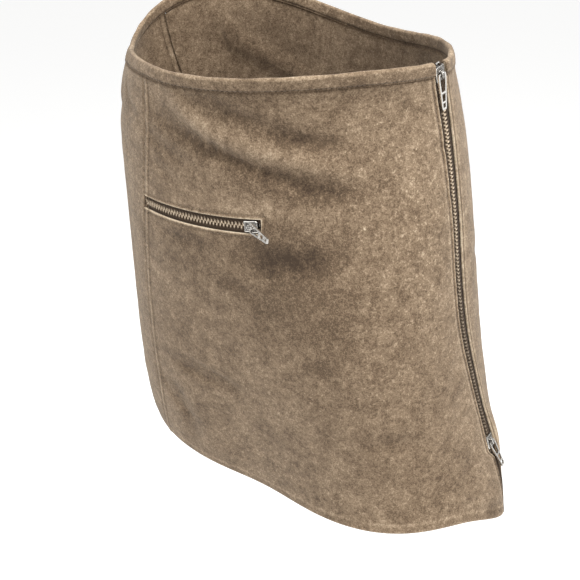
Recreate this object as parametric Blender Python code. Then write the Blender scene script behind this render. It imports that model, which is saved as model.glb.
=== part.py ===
"""Suede mini skirt with an exposed two-way side zip and a zipped pocket.

Metres, +Z up. The origin is the centre of the waist opening, where the wearer's waist
holds the skirt. +X is the wearer's left and the front faces -Y. Sizes below are in
millimetres, and a place on the cloth is given by two numbers: its angle round the body,
in degrees from centre front towards the wearer's left, and its drop, 0 at the waist edge
and 1 at the hem. Everything that lies on the cloth is made from the cloth's own points,
moved out or in along its normal.
"""
from collections import namedtuple

import bmesh
import bpy
import numpy as np
from mathutils import Matrix, Vector

MM = 0.001

# ------------------------------------------------------------------ driving sizes (mm)
SKIRT_DROP = 391.5          # waist edge to hem
CLOTH = 1.6                 # suede wall
LAY = 0.3                   # gap between pieces that touch
SEAM_GAP = 0.3              # gap between two panels at a seam
ROUNDNESS = (2.05, 2.35)    # at waist and hem: 2 is an ellipse, more is squarer

Section = namedtuple("Section", "drop half_width half_depth to_left to_back turn")
SECTIONS = (                # the tube's outline at five heights; turn in degrees
    Section(0.00, 155.5, 99.0, 0.0, 0.0, 7.0),
    Section(0.25, 169.0, 109.0, 8.5, 8.0, 2.0),
    Section(0.50, 175.5, 116.0, 12.5, 14.0, -5.0),
    Section(0.75, 180.5, 115.0, 16.0, 20.5, -7.0),
    Section(1.00, 191.5, 111.0, 23.5, 29.5, -13.0),
)

Wave = namedtuple("Wave", "count waist_cos waist_sin hem_cos hem_sin")
OUTLINE_WAVES = (           # how far the outline stands out, by waves round the body
    Wave(2, 3.0, 4.0, -3.5, -12.0),
    Wave(3, 3.0, 0.0, -3.0, -4.0),
    Wave(4, 0.0, -1.5, -1.5, -2.0),
    Wave(5, -0.5, 0.5, -1.5, -2.0),
)
EDGE_WAVES = (              # how the waist edge and the hem rise and dip
    Wave(2, 2.5, 9.0, -5.0, 3.5),
    Wave(3, 2.0, -5.0, -3.5, -2.0),
    Wave(4, -3.0, 1.5, 1.5, -0.5),
)
DRAWN_IN = (                # how far the bound waist edge is drawn in, or let out
    Wave(0, -2.5, 0.0, 0.0, 0.0),
    Wave(1, -1.0, -8.0, 0.0, 0.0),
    Wave(2, -4.5, -10.0, 0.0, 0.0),
)
DRAWN_DEEP = 0.07           # the drop over which that fades
WAIST_TILT = (-0.005, 0.100)    # rise per unit towards the left and towards the back
HEM_TILT = (-0.040, 0.0)

Line = namedtuple("Line", "waist middle hem")
MAIN_ZIP = Line(74.3, 95.85, 110.3)         # angles of the zip's centre line
FRONT_SEAM = Line(-24.0, -26.5, -27.0)      # front panel to side panel
BACK_SEAM = Line(-118.0, -121.0, -124.0)    # side panel to back panel
ZIP_RIDGE = Line(6.0, -3.0, 11.0)            # how far the stiff zip holds the cloth out
RIDGE_BEHIND = 8.1                          # ridge line, behind the zip's centre
RIDGE_FRONT, RIDGE_BACK, RIDGE_SOFT = 45.0, 28.0, 6.0
SLIT_FALL, SLIT_FALL_FROM = 4.0, 0.91       # how far the cloth falls in beside the slit

Sway = namedtuple("Sway", "drop across reach")
ZIP_SWAYS = (               # how far the zip wanders from its line, in mm, and over what drop
    Sway(0.33, 1.9, 0.09),
    Sway(0.57, -1.9, 0.09),
    Sway(0.80, 0.8, 0.06),
    Sway(1.00, 8.0, 0.08),
)
HemDip = namedtuple("HemDip", "angle deep reach")
HEM_DIP = HemDip(113.0, 5.5, 14.0)          # the hem hangs lower at the slit

Fold = namedtuple("Fold", "angle0 drop0 angle1 drop1 angle2 drop2 height width")
FOLDS = (                   # a curve through three places; height < 0 is a trough
    Fold(-20, 0.092, 8, 0.158, 43, 0.228, -4.0, 9.0),       # long drag line, waist to hip
    Fold(-9, 0.040, 10, 0.134, 46, 0.196, 3.5, 9.0),
    Fold(1, 0.039, 17, 0.093, 37, 0.142, -2.5, 7.0),
    Fold(-25, 0.135, -16, 0.161, -4, 0.186, -1.8, 7.0),
    Fold(14, 0.375, 28, 0.366, 42, 0.365, -2.5, 15.0),      # hollow under the pocket zip
    Fold(-14, 0.696, -5, 0.706, 9, 0.712, -1.8, 7.0),
    Fold(-21, 0.766, -15, 0.862, -15.5, 0.97, -2.2, 8.0),
    Fold(51, 0.789, 60, 0.785, 68, 0.797, -1.4, 8.0),
    Fold(117, 0.88, 118, 0.94, 119, 1.01, -5.0, 11.0),      # beside the slit
    Fold(113, 0.79, 114.5, 0.855, 115, 0.915, 3.6, 12.0),   # beside the lower slider
    Fold(-50, 0.07, -62, 0.15, -84, 0.21, -2.6, 10.0),      # right hip
    Fold(-58, 0.72, -66, 0.82, -64, 0.96, -3.0, 12.0),
    Fold(-104, 0.30, -92, 0.35, -76, 0.37, -2.2, 12.0),
    Fold(112, 0.10, 132, 0.17, 158, 0.20, -3.2, 10.0),      # back, zip side
    Fold(118, 0.05, 138, 0.115, 162, 0.145, 2.4, 9.0),
    Fold(222, 0.10, 204, 0.18, 180, 0.215, -3.0, 11.0),     # back, far side
    Fold(146, 0.45, 178, 0.475, 208, 0.455, -2.8, 15.0),    # under the seat
    Fold(160, 0.70, 156, 0.82, 158, 0.97, -3.2, 14.0),
    Fold(206, 0.74, 212, 0.85, 210, 0.97, -2.6, 13.0),
)
FLAT_RADIUS = 150.0         # turns an angle into a distance across, when placing folds
FOLD_STEPS, FOLD_FADE = 13, 0.75            # places along each fold, and its loss at the ends
ANGLES_END = 140.0          # the angles on the cloth run from -ANGLES_END once round
ANGLE_STEP, DROP_STEP = 0.4, 0.002          # small steps that measure a slope

HEM_TURN, HEM_TURN_WALL = 22.0, 3.2         # depth of the turned hem and its doubled wall
BINDING_DEEP, BINDING_WALL = 9.5, 1.0
BINDING_SHOULDER, BINDING_CROWN = 0.8, 0.3  # down and in, where the fold's corner is cut off

ZIP_OPENING, POCKET_OPENING = 13.0, 12.0    # between the cloth edges
SLIT_GAP, SLIT_AT = 1.5, 2.5                # the slit under the lower slider, and its place across
SLIT_FROM, SLIT_CLOSED = 0.854, 0.878       # the drops between which the edges come together
TAPE_WALL, TAPE_DEEP = 1.0, 14.0
CHAIN_WIDE, CHAIN_WALL, OPEN_TEETH_WALL = 6.6, 2.6, 2.0
TAPE_MIDDLE = -(CLOTH + LAY + TAPE_WALL / 2)    # the zips' middle, below the cloth's face
TAPE_INNER = CHAIN_WIDE / 2 + LAY

TOP_SLIDER_DROP, BOTTOM_SLIDER_DROP = 0.0198, 0.836
POCKET_START, POCKET_END = -25.7, 18.6      # angles of the pocket zip's two ends
POCKET_SLIDER = 15.6                        # angle of the pocket slider
POCKET_DROP, POCKET_SLOPE = 0.303, -0.00028    # drop at centre front, change per degree
POCKET_SEAM_CLEAR, POCKET_TAPE_PAST = 1.0, 5.0  # degrees, from the seam and past the closed end
TAPE_TO_EDGE = 0.002        # drop left between a tape's end and the waist edge
TAPE_TO_HEM = 0.005         # drop left between a tape's end and the hem's turn
BAG_WIDE, BAG_DEEP, BAG_WALL = 150.0, 135.0, 2.4
BAG_SIDE = 1.5              # degrees from the pocket's open end to the bag's edge
BAG_STEP = (5.0, 6.8)       # the bag steps back behind the slider between these distances

SLIDER_LONG = 12.0
PLATE_INNER, PLATE_WALL = 1.6, 1.1          # slider plates, from the tape's middle
LIP_INNER, LIP_WALL = 1.0, 0.8
SLIDER_OVER = 2.0           # how far the chain runs into a slider
ARCH_HALF, ARCH_WIDE, ARCH_WALL, ARCH_CLEAR = 2.7, 2.0, 0.9, 2.0
PIVOT = PLATE_INNER + PLATE_WALL + ARCH_CLEAR / 2

Pull = namedtuple("Pull", "swing lift")     # degrees from the zip's line, and outwards
TOP_PULL = Pull(8.0, 6.5)
BOTTOM_PULL = Pull(-11.5, 5.0)
POCKET_PULL = Pull(11.0, 32.0)


# ------------------------------------------------------------------ the cloth's surface
def through(line, drop):
    """The quadratic that passes through a line's waist, middle and hem values."""
    return (line.waist * (1 - drop) * (1 - 2 * drop) + 4 * line.middle * drop * (1 - drop)
            + line.hem * drop * (2 * drop - 1))


def section_curve(column):
    """One column of SECTIONS as a smooth curve of drop."""
    drops = [row.drop for row in SECTIONS]
    values = [getattr(row, column) for row in SECTIONS]
    return np.polynomial.Polynomial.fit(drops, values, len(drops) - 1)


HALF_WIDTH = section_curve("half_width")
HALF_DEPTH = section_curve("half_depth")
TO_LEFT = section_curve("to_left")
TO_BACK = section_curve("to_back")
TURN = section_curve("turn")


def wave_sum(waves, turned, at_waist):
    """The waves' sum round the body, at the waist or at the hem."""
    total = np.zeros_like(turned)
    for wave in waves:
        cosine, sine = (wave.waist_cos, wave.waist_sin) if at_waist else (wave.hem_cos, wave.hem_sin)
        total += cosine * np.cos(wave.count * turned) + sine * np.sin(wave.count * turned)
    return total


def ridge(angle, drop):
    """The soft corner that runs down the cloth just behind the zip."""
    zip_angle = through(MAIN_ZIP, drop)
    per_radian = np.hypot(HALF_WIDTH(drop) * np.cos(np.radians(zip_angle)),
                          HALF_DEPTH(drop) * np.sin(np.radians(zip_angle)))
    away = np.radians((angle - zip_angle + 180) % 360 - 180) * per_radian - RIDGE_BEHIND
    reach = np.where(away < 0, RIDGE_FRONT, RIDGE_BACK)
    fall = SLIT_FALL * np.clip((drop - SLIT_FALL_FROM) / (1 - SLIT_FALL_FROM), 0, None) ** 2
    height = through(ZIP_RIDGE, drop) - fall
    return height * np.exp(-(np.hypot(away, RIDGE_SOFT) - RIDGE_SOFT) / reach)


def smooth_cloth(angle, drop):
    """Points of the cloth without its folds, in millimetres."""
    angle, drop = np.broadcast_arrays(np.asarray(angle, float), np.asarray(drop, float))
    turned = np.radians(angle)
    sine, cosine = np.sin(turned), np.cos(turned)
    roundness = ROUNDNESS[0] + (ROUNDNESS[1] - ROUNDNESS[0]) * drop
    reach = (np.abs(sine) ** roundness + np.abs(cosine) ** roundness) ** (-1 / roundness)
    left = HALF_WIDTH(drop) * reach * sine
    back = -HALF_DEPTH(drop) * reach * cosine
    out = ((1 - drop) ** 2 * wave_sum(OUTLINE_WAVES, turned, True)
           + drop ** 2 * wave_sum(OUTLINE_WAVES, turned, False) + ridge(angle, drop)
           - wave_sum(DRAWN_IN, turned, True) * np.exp(-drop / DRAWN_DEEP))
    stretch = 1 + out / np.hypot(left, back)
    left, back = left * stretch, back * stretch
    turn = np.radians(TURN(drop))
    waist = WAIST_TILT[0] * left + WAIST_TILT[1] * back + wave_sum(EDGE_WAVES, turned, True)
    from_dip = (angle - HEM_DIP.angle + 180) % 360 - 180
    hem = (HEM_TILT[0] * left + HEM_TILT[1] * back + wave_sum(EDGE_WAVES, turned, False)
           - HEM_DIP.deep * np.exp(-(from_dip / HEM_DIP.reach) ** 2) - SKIRT_DROP)
    return np.stack([left * np.cos(turn) - back * np.sin(turn) + TO_LEFT(drop),
                     left * np.sin(turn) + back * np.cos(turn) + TO_BACK(drop),
                     waist * (1 - drop) + hem * drop], -1)


def outward(surface, angle, drop):
    """Unit normals of a surface of (angle, drop), pointing away from the wearer."""
    across = surface(angle + ANGLE_STEP, drop) - surface(angle - ANGLE_STEP, drop)
    down = surface(angle, drop + DROP_STEP) - surface(angle, drop - DROP_STEP)
    normal = np.cross(down, across)
    return normal / np.linalg.norm(normal, axis=-1, keepdims=True)


def fold_height(angle, drop):
    """Sum of the folds: soft troughs and ridges that fade towards their ends."""
    angle, drop = np.broadcast_arrays(np.asarray(angle, float), np.asarray(drop, float))
    angle = (angle + ANGLES_END) % 360 - ANGLES_END
    total = np.zeros(angle.shape)
    step = np.linspace(0, 1, FOLD_STEPS)
    for fold in FOLDS:
        middle_angle = 2 * fold.angle1 - (fold.angle0 + fold.angle2) / 2
        middle_drop = 2 * fold.drop1 - (fold.drop0 + fold.drop2) / 2
        weights = ((1 - step) ** 2, 2 * step * (1 - step), step ** 2)
        along_angle = weights[0] * fold.angle0 + weights[1] * middle_angle + weights[2] * fold.angle2
        along_drop = weights[0] * fold.drop0 + weights[1] * middle_drop + weights[2] * fold.drop2
        across = np.radians(angle[..., None] - along_angle) * FLAT_RADIUS
        down = (drop[..., None] - along_drop) * SKIRT_DROP
        fade = 1 - FOLD_FADE * np.abs(2 * step - 1) ** 3
        bumps = fade * np.exp(-(across ** 2 + down ** 2) / fold.width ** 2)
        total += fold.height * bumps.max(-1)
    return total


def draped_cloth(angle, drop):
    """Points of the cloth's outer face, folds and all, in millimetres."""
    normal = outward(smooth_cloth, np.asarray(angle, float), np.asarray(drop, float))
    return smooth_cloth(angle, drop) + fold_height(angle, drop)[..., None] * normal


def laid(angle, drop, height):
    """A place on the cloth, moved out by a height (negative is towards the wearer)."""
    angle, drop, height = np.broadcast_arrays(
        np.asarray(angle, float), np.asarray(drop, float), np.asarray(height, float))
    normal = outward(draped_cloth, angle, drop)
    return (draped_cloth(angle, drop) + height[..., None] * normal) * MM


def beside(angle, drop, distance):
    """The angle that lies a distance across from another, towards the wearer's left."""
    step = smooth_cloth(angle + ANGLE_STEP, drop) - smooth_cloth(angle - ANGLE_STEP, drop)
    return angle + distance * 2 * ANGLE_STEP / np.linalg.norm(step, axis=-1)


def zip_line(drop):
    """The angle of the main zip's centre, with its small sways."""
    across = sum(sway.across * np.exp(-((drop - sway.drop) / sway.reach) ** 2) for sway in ZIP_SWAYS)
    return beside(through(MAIN_ZIP, drop), drop, across)


def opening_edge(side, drop):
    """How far a cloth edge lies from the main zip's centre; in the slit both edges meet."""
    below = np.clip((drop - SLIT_FROM) / (SLIT_CLOSED - SLIT_FROM), 0, 1)
    below = below * below * (3 - 2 * below)
    return side * ZIP_OPENING / 2 * (1 - below) + (SLIT_AT + side * SLIT_GAP / 2) * below


def pocket_drop(angle, lateral=0.0):
    """The pocket zip's drop at an angle, moved down by a lateral distance."""
    return POCKET_DROP + POCKET_SLOPE * angle + lateral / SKIRT_DROP


# ------------------------------------------------------------------ making objects
def material(name, colour, roughness, metallic=0.0):
    made = bpy.data.materials.new(name)
    made.use_nodes = True
    shader = made.node_tree.nodes["Principled BSDF"]
    shader.inputs["Base Color"].default_value = (*colour, 1.0)
    shader.inputs["Roughness"].default_value = roughness
    shader.inputs["Metallic"].default_value = metallic
    return made


def add_object(name, mesh, finish, place=Matrix.Identity(4)):
    """One named object; its mesh is in metres, in its own place."""
    made = bpy.data.objects.new(name, mesh)
    bpy.context.scene.collection.objects.link(made)
    if not mesh.materials:
        mesh.materials.append(finish)
    made.matrix_world = place
    return made


def mesh_from(name, vertices, faces):
    """A closed mesh whose faces point out, shaded smooth but for its sharp edges."""
    shape = bmesh.new()
    made = [shape.verts.new(tuple(float(value) for value in vertex)) for vertex in vertices]
    for face in faces:
        shape.faces.new([made[index] for index in face])
    bmesh.ops.delete(shape, geom=[v for v in shape.verts if not v.link_faces], context="VERTS")
    bmesh.ops.recalc_face_normals(shape, faces=shape.faces)
    mesh = bpy.data.meshes.new(name)
    shape.to_mesh(mesh)
    shape.free()
    mesh.shade_smooth()
    mesh.set_sharp_from_angle(angle=0.7)
    return mesh


def slab(name, upper, lower, keep=None):
    """A wall between two grids of points. Cells that keep leaves out are cut through."""
    rows, columns = upper.shape[:2]
    keep = np.ones((rows - 1, columns - 1), bool) if keep is None else keep
    vertices = np.concatenate([upper.reshape(-1, 3), lower.reshape(-1, 3)])
    under = rows * columns
    faces, rims = [], {}
    for row, column in np.argwhere(keep):
        start = row * columns + column
        ring = [start, start + 1, start + columns + 1, start + columns]
        faces.append(ring)
        faces.append([index + under for index in reversed(ring)])
        for a, b in zip(ring, ring[1:] + ring[:1]):
            if (b, a) in rims:
                del rims[(b, a)]
            else:
                rims[(a, b)] = [b, a, a + under, b + under]
    return mesh_from(name, vertices, faces + list(rims.values()))


def loft(name, rings):
    """A closed solid through rings of points, with both ends capped."""
    rings = np.asarray(rings)
    stations, corners = rings.shape[:2]
    faces = [list(range(corners)), [(stations - 1) * corners + i for i in reversed(range(corners))]]
    for station in range(stations - 1):
        for i in range(corners):
            a = station * corners + i
            b = station * corners + (i + 1) % corners
            faces.append([b, a, a + corners, b + corners])
    return mesh_from(name, rings.reshape(-1, 3), faces)


# ------------------------------------------------------------------ the three panels
POCKET_HALF = POCKET_OPENING / 2 / SKIRT_DROP
BINDING_ROW = (BINDING_DEEP + LAY) / SKIRT_DROP
HEM_FOLD = 1 - HEM_TURN / SKIRT_DROP
ROW_STEPS = (               # drop from, drop to, rows between
    (0.0, BINDING_ROW, 2), (BINDING_ROW, 0.262, 8), (0.262, POCKET_DROP - POCKET_HALF, 1),
    (POCKET_DROP - POCKET_HALF, POCKET_DROP + POCKET_HALF, 1),
    (POCKET_DROP + POCKET_HALF, 0.38, 3), (0.38, 0.675, 7), (0.675, SLIT_FROM, 5),
    (SLIT_FROM, SLIT_CLOSED, 3), (SLIT_CLOSED, HEM_FOLD - 0.004, 2),
    (HEM_FOLD - 0.004, HEM_FOLD, 1), (HEM_FOLD, 1.0, 1),
)
PANEL_ROWS = np.concatenate([[0.0]] + [np.linspace(low, high, count + 1)[1:]
                                       for low, high, count in ROW_STEPS])
POCKET_ROW = int(np.argmin(np.abs(PANEL_ROWS - (POCKET_DROP - POCKET_HALF))))
POCKET_COLUMNS = 11


def wall(drop):
    """The cloth's thickness, doubled in the turned hem."""
    return np.where(drop > HEM_FOLD - 0.001, HEM_TURN_WALL, CLOTH)


def build_panel(name, finish, edges, slope=0.0, keep=None):
    """A panel between its two edges; the slope tilts the rows next to the pocket zip."""
    rows = PANEL_ROWS[:, None]
    slope_here = slope * np.interp(rows, (0, 0.2, 0.4, 0.9), (0, 1, 1, 0))
    drops = rows + 0.0 * edges.shares
    for _ in range(3):
        angles = edges.start(drops) * (1 - edges.shares) + edges.end(drops) * edges.shares
        drops = rows + slope_here * angles
    upper = laid(angles, drops, 0.0)
    lower = laid(angles, drops, -wall(rows))
    return add_object(name, slab(name, upper, lower, keep), finish)


def front_seam(side):
    return lambda drop: beside(through(FRONT_SEAM, drop), drop, side * SEAM_GAP / 2)


def back_seam(side, whole_turn=0.0):
    return lambda drop: beside(through(BACK_SEAM, drop), drop, side * SEAM_GAP / 2) + whole_turn


def zip_edge(side):
    return lambda drop: beside(zip_line(drop), drop, opening_edge(side, drop))


Edges = namedtuple("Edges", "start end shares")


def front_edges():
    """The front panel's edges, with a column at the pocket zip's closed end."""
    start, end = front_seam(1), zip_edge(-1)
    here = np.array(pocket_drop(POCKET_END))
    share = float((POCKET_END - start(here)) / (end(here) - start(here)))
    shares = np.concatenate([np.linspace(0, share, POCKET_COLUMNS + 1),
                             np.linspace(share, 1, 20)[1:]])
    return Edges(start, end, shares)


FRONT = front_edges()
SIDE = Edges(back_seam(1), front_seam(-1), np.linspace(0, 1, 15))
BACK = Edges(zip_edge(1), back_seam(-1, 360.0), np.linspace(0, 1, 31) ** 1.35)


def build_panels(suede):
    """The front, side and back panels. The front is cut for the pocket, from its seam."""
    keep = np.ones((len(PANEL_ROWS) - 1, len(FRONT.shares) - 1), bool)
    keep[POCKET_ROW, :POCKET_COLUMNS] = False
    build_panel("front_panel", suede, FRONT, POCKET_SLOPE, keep)
    build_panel("side_panel", suede, SIDE)
    build_panel("back_panel", suede, BACK)


def build_binding(suede):
    """One strip folded over the waist edge, from one side of the zip round to the other."""
    outer, inner = LAY, -(CLOTH + LAY)
    top, middle = LAY + BINDING_WALL, -(BINDING_DEEP + LAY) / 2
    profile = ((outer + BINDING_WALL, -BINDING_DEEP), (outer + BINDING_WALL, middle),
               (outer + BINDING_WALL, top - BINDING_SHOULDER), (outer + BINDING_CROWN, top),
               (inner - BINDING_CROWN, top), (inner - BINDING_WALL, top - BINDING_SHOULDER),
               (inner - BINDING_WALL, middle),
               (inner - BINDING_WALL, -BINDING_DEEP), (inner, -BINDING_DEEP), (inner, middle),
               (inner, LAY), (outer, LAY), (outer, middle), (outer, -BINDING_DEEP))
    height = np.array([point[0] for point in profile])
    drop = np.array([-point[1] for point in profile]) / SKIRT_DROP
    rings = []
    for edges, first in ((BACK, 0), (SIDE, 1), (FRONT, 1)):
        for share in edges.shares[first:]:
            angle = edges.start(drop) * (1 - share) + edges.end(drop) * share
            rings.append(laid(angle, drop, height))
    add_object("waist_binding", loft("waist_binding", rings), suede)


# ------------------------------------------------------------------ the zips
def zip_strip(name, finish, place, stations, section):
    """A bar along a zip. section(station) gives its laterals, its middle and its wall."""
    rings = []
    for station in stations:
        laterals, middle, thick = section(station)
        laterals = np.array(laterals)
        angle, drop = place(station, np.concatenate([laterals, laterals[::-1]]))
        height = np.repeat([middle + thick / 2, middle - thick / 2], len(laterals))
        rings.append(laid(angle, drop, height))
    return add_object(name, loft(name, rings), finish)


def on_main_zip(drop, lateral):
    drop = drop + 0.0 * np.asarray(lateral)
    return beside(zip_line(drop), drop, lateral), drop


def on_pocket_zip(angle, lateral):
    return angle + 0.0 * np.asarray(lateral), pocket_drop(angle, lateral)


def chain_section(station):
    return (-CHAIN_WIDE / 2, 0, CHAIN_WIDE / 2), TAPE_MIDDLE, CHAIN_WALL


def build_main_zip(cloth_tape, metal):
    """Two tapes, the closed chain between the sliders, and the open rows in the slit."""
    last = HEM_FOLD - TAPE_TO_HEM
    below_binding = BINDING_ROW + TAPE_TO_EDGE
    rows = np.concatenate([[TAPE_TO_EDGE, BINDING_ROW / 2, BINDING_ROW, below_binding],
                           PANEL_ROWS[(PANEL_ROWS > below_binding) & (PANEL_ROWS < last)], [last]])
    for side, name in ((-1, "main_zip_tape_front"), (1, "main_zip_tape_back")):
        def tape(drop, side=side):
            far = TAPE_DEEP if drop > BINDING_ROW else ZIP_OPENING / 2 - LAY
            shares = (0.0, 0.2, 0.4, 0.7, 1.0)
            laterals = [side * (TAPE_INNER + (far - TAPE_INNER) * share) for share in shares]
            return laterals, TAPE_MIDDLE, TAPE_WALL
        zip_strip(name, cloth_tape, on_main_zip, rows, tape)

    inside_slider = SLIDER_OVER / SKIRT_DROP
    chain_rows = np.linspace(TOP_SLIDER_DROP - inside_slider, BOTTOM_SLIDER_DROP + inside_slider, 44)
    zip_strip("main_zip_chain", metal, on_main_zip, chain_rows, chain_section)

    below_slider = BOTTOM_SLIDER_DROP + (SLIDER_LONG / 2 + LAY) / SKIRT_DROP
    open_rows = np.linspace(below_slider, last, 7)
    for side, name in ((-1, "open_teeth_front"), (1, "open_teeth_back")):
        def teeth(drop, side=side):
            near, far = side * LAY, side * (TAPE_INNER - LAY)
            return (near, far), -(CLOTH + LAY) - OPEN_TEETH_WALL / 2, OPEN_TEETH_WALL
        zip_strip(name, metal, on_main_zip, open_rows, teeth)


def build_pocket(cloth_tape, metal, bag_cloth):
    """The pocket zip's tapes and chain, and the bag that hangs behind them."""
    stations = np.linspace(POCKET_START + POCKET_SEAM_CLEAR, POCKET_END + POCKET_TAPE_PAST, 14)
    for side, name in ((-1, "pocket_tape_upper"), (1, "pocket_tape_lower")):
        def tape(angle, side=side):
            shares = (0.0, 0.25, 1.0)
            laterals = [side * (TAPE_INNER + (TAPE_DEEP - TAPE_INNER) * share) for share in shares]
            return laterals, TAPE_MIDDLE, TAPE_WALL
        zip_strip(name, cloth_tape, on_pocket_zip, stations, tape)
    inside_slider = np.degrees(SLIDER_OVER / FLAT_RADIUS)
    chain = np.linspace(POCKET_START + POCKET_SEAM_CLEAR, POCKET_SLIDER + inside_slider, 12)
    zip_strip("pocket_zip_chain", metal, on_pocket_zip, chain, chain_section)

    on_tape = TAPE_MIDDLE - TAPE_WALL / 2 - LAY
    behind_slider = TAPE_MIDDLE - PLATE_INNER - PLATE_WALL - 2 * LAY
    near, far = BAG_STEP
    rows = ((-TAPE_DEEP, on_tape), (-far, on_tape), (-near, behind_slider), (near, behind_slider),
            (far, on_tape), (TAPE_DEEP, on_tape)) + tuple(
                (lateral, on_tape) for lateral in np.linspace(TAPE_DEEP, BAG_DEEP, 8)[1:])
    lateral = np.array([row[0] for row in rows])[:, None]
    height = np.array([row[1] for row in rows])[:, None]
    bag_end = POCKET_START + np.degrees(BAG_WIDE / FLAT_RADIUS)
    angles = np.linspace(POCKET_START + BAG_SIDE, bag_end, 12)
    angles = angles[None, :] + 0 * lateral
    drops = pocket_drop(angles, lateral)
    mesh = slab("pocket_bag", laid(angles, drops, height), laid(angles, drops, height - BAG_WALL))
    add_object("pocket_bag", mesh, bag_cloth)


def frame_on_zip(place, station, forward):
    """A slider's frame: x across, y along the zip (forward is its way), z outwards."""
    origin = laid(*place(station, 0.0), TAPE_MIDDLE)
    step = 0.004 if place is on_main_zip else 1.0
    ahead = laid(*place(station + step, 0.0), TAPE_MIDDLE)
    behind = laid(*place(station - step, 0.0), TAPE_MIDDLE)
    along = Vector((ahead - behind) * forward).normalized()
    out = Vector(outward(draped_cloth, *place(station, 0.0)))
    out = (out - along * out.dot(along)).normalized()
    across = along.cross(out)
    turned = Matrix((across, along, out)).transposed().to_4x4()
    return Matrix.Translation(Vector(origin)) @ turned


def slider_mesh(metal):
    """Two plates joined by a wedge at the open end, with an arch for the pull."""
    stations = ((-0.5, 4.4), (-0.1, 4.5), (0.25, 4.9), (0.42, 4.7), (0.5, 4.2))

    def shell(upper):
        sign = 1 if upper else -1
        outer, inner = PLATE_INNER + PLATE_WALL, PLATE_INNER
        rings = []
        for share, half in stations:
            lip = half - LIP_WALL
            section = ((-half, LIP_INNER), (-half, outer - 0.3), (-half + 0.4, outer),
                       (half - 0.4, outer), (half, outer - 0.3), (half, LIP_INNER),
                       (lip, LIP_INNER), (lip, inner), (-lip, inner), (-lip, LIP_INNER))
            rings.append([(x, share * SLIDER_LONG, sign * z) for x, z in section])
        return loft("slider_shell", np.array(rings) * MM)

    wedge = [[(-w, y, z) for w, y in ((1.4, 5.6), (0.5, 2.6), (-0.5, 2.6), (-1.4, 5.6))]
             for z in (-PLATE_INNER - 0.5, PLATE_INNER + 0.5)]
    base = PLATE_INNER + PLATE_WALL - 0.4
    under = PLATE_INNER + PLATE_WALL + ARCH_CLEAR
    inner_half = ARCH_HALF - ARCH_WALL
    arch_path = ((-ARCH_HALF, base, -inner_half, base), (-ARCH_HALF, under - 0.2, -inner_half, under - 0.5),
                 (-ARCH_HALF + 0.7, under + ARCH_WALL, -inner_half + 0.5, under),
                 (ARCH_HALF - 0.7, under + ARCH_WALL, inner_half - 0.5, under),
                 (ARCH_HALF, under - 0.2, inner_half, under - 0.5), (ARCH_HALF, base, inner_half, base))
    arch = [[(-ARCH_WIDE / 2, y1, z1), (ARCH_WIDE / 2, y1, z1), (ARCH_WIDE / 2, y2, z2),
             (-ARCH_WIDE / 2, y2, z2)] for y1, z1, y2, z2 in arch_path]

    body = add_object("slider_shape", shell(True), metal)
    added = [("slider_lower", shell(False)), ("slider_wedge", loft("wedge", np.array(wedge) * MM)),
             ("slider_arch", loft("arch", np.array(arch) * MM))]
    for name, mesh in added:
        guide = add_object(name, mesh, metal)
        union = body.modifiers.new(name, "BOOLEAN")
        union.operation = "UNION"
        union.object = guide
    bpy.context.view_layer.update()
    joined = bpy.data.meshes.new_from_object(body.evaluated_get(bpy.context.evaluated_depsgraph_get()))
    joined.name = "slider"
    for name in ["slider_shape"] + [entry[0] for entry in added]:
        bpy.data.objects.remove(bpy.data.objects[name])
    joined.set_sharp_from_angle(angle=0.7)
    return joined


PullRow = namedtuple("PullRow", "along outer inner thick window")
PULL_ROWS = (               # from the crossbar, on the joint's axis, to the far end
    PullRow(-0.55, 3.5, 2.9, 1.1, False),
    PullRow(0.55, 4.1, 2.9, 1.1, True),
    PullRow(4.0, 4.2, 3.0, 1.3, True),
    PullRow(14.0, 3.3, 2.1, 1.3, False),
    PullRow(15.6, 3.2, 2.0, 1.3, True),
    PullRow(21.6, 2.8, 1.6, 1.3, False),
    PullRow(23.1, 2.7, 1.5, 1.3, True),
    PullRow(26.6, 2.5, 1.3, 1.3, False),
    PullRow(28.4, 1.9, 0.8, 1.3, False),
)


def pull_mesh():
    """A flat ladder: two rails, three windows, and a crossbar that runs under the arch."""
    sheets = []
    for side in (1, -1):
        sheets.append(np.array([[(x, row.along, side * row.thick / 2) for x in
                                 (-row.outer, -row.inner, row.inner, row.outer)]
                                for row in PULL_ROWS]) * MM)
    keep = np.ones((len(PULL_ROWS) - 1, 3), bool)
    for index, row in enumerate(PULL_ROWS[:-1]):
        keep[index, 1] = not row.window
    return slab("pull", sheets[0], sheets[1], keep)


def build_sliders(metal):
    """Three sliders on one mesh, each with a pull that turns on its arch."""
    slider, pull = slider_mesh(metal), pull_mesh()
    pull.materials.append(metal)
    rows = (("top", on_main_zip, TOP_SLIDER_DROP, -1, TOP_PULL, 180.0),
            ("bottom", on_main_zip, BOTTOM_SLIDER_DROP, 1, BOTTOM_PULL, 0.0),
            ("pocket", on_pocket_zip, POCKET_SLIDER, 1, POCKET_PULL, 0.0))
    for name, place, station, forward, rest, about in rows:
        frame = frame_on_zip(place, station, forward)
        add_object(name + "_slider", slider, metal, frame)
        hang = (Matrix.Translation((0, 0, PIVOT * MM))
                @ Matrix.Rotation(np.radians(about - rest.swing), 4, "Z")
                @ Matrix.Rotation(np.radians(rest.lift), 4, "X"))
        add_object(name + "_pull", pull, metal, frame @ hang)


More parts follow.
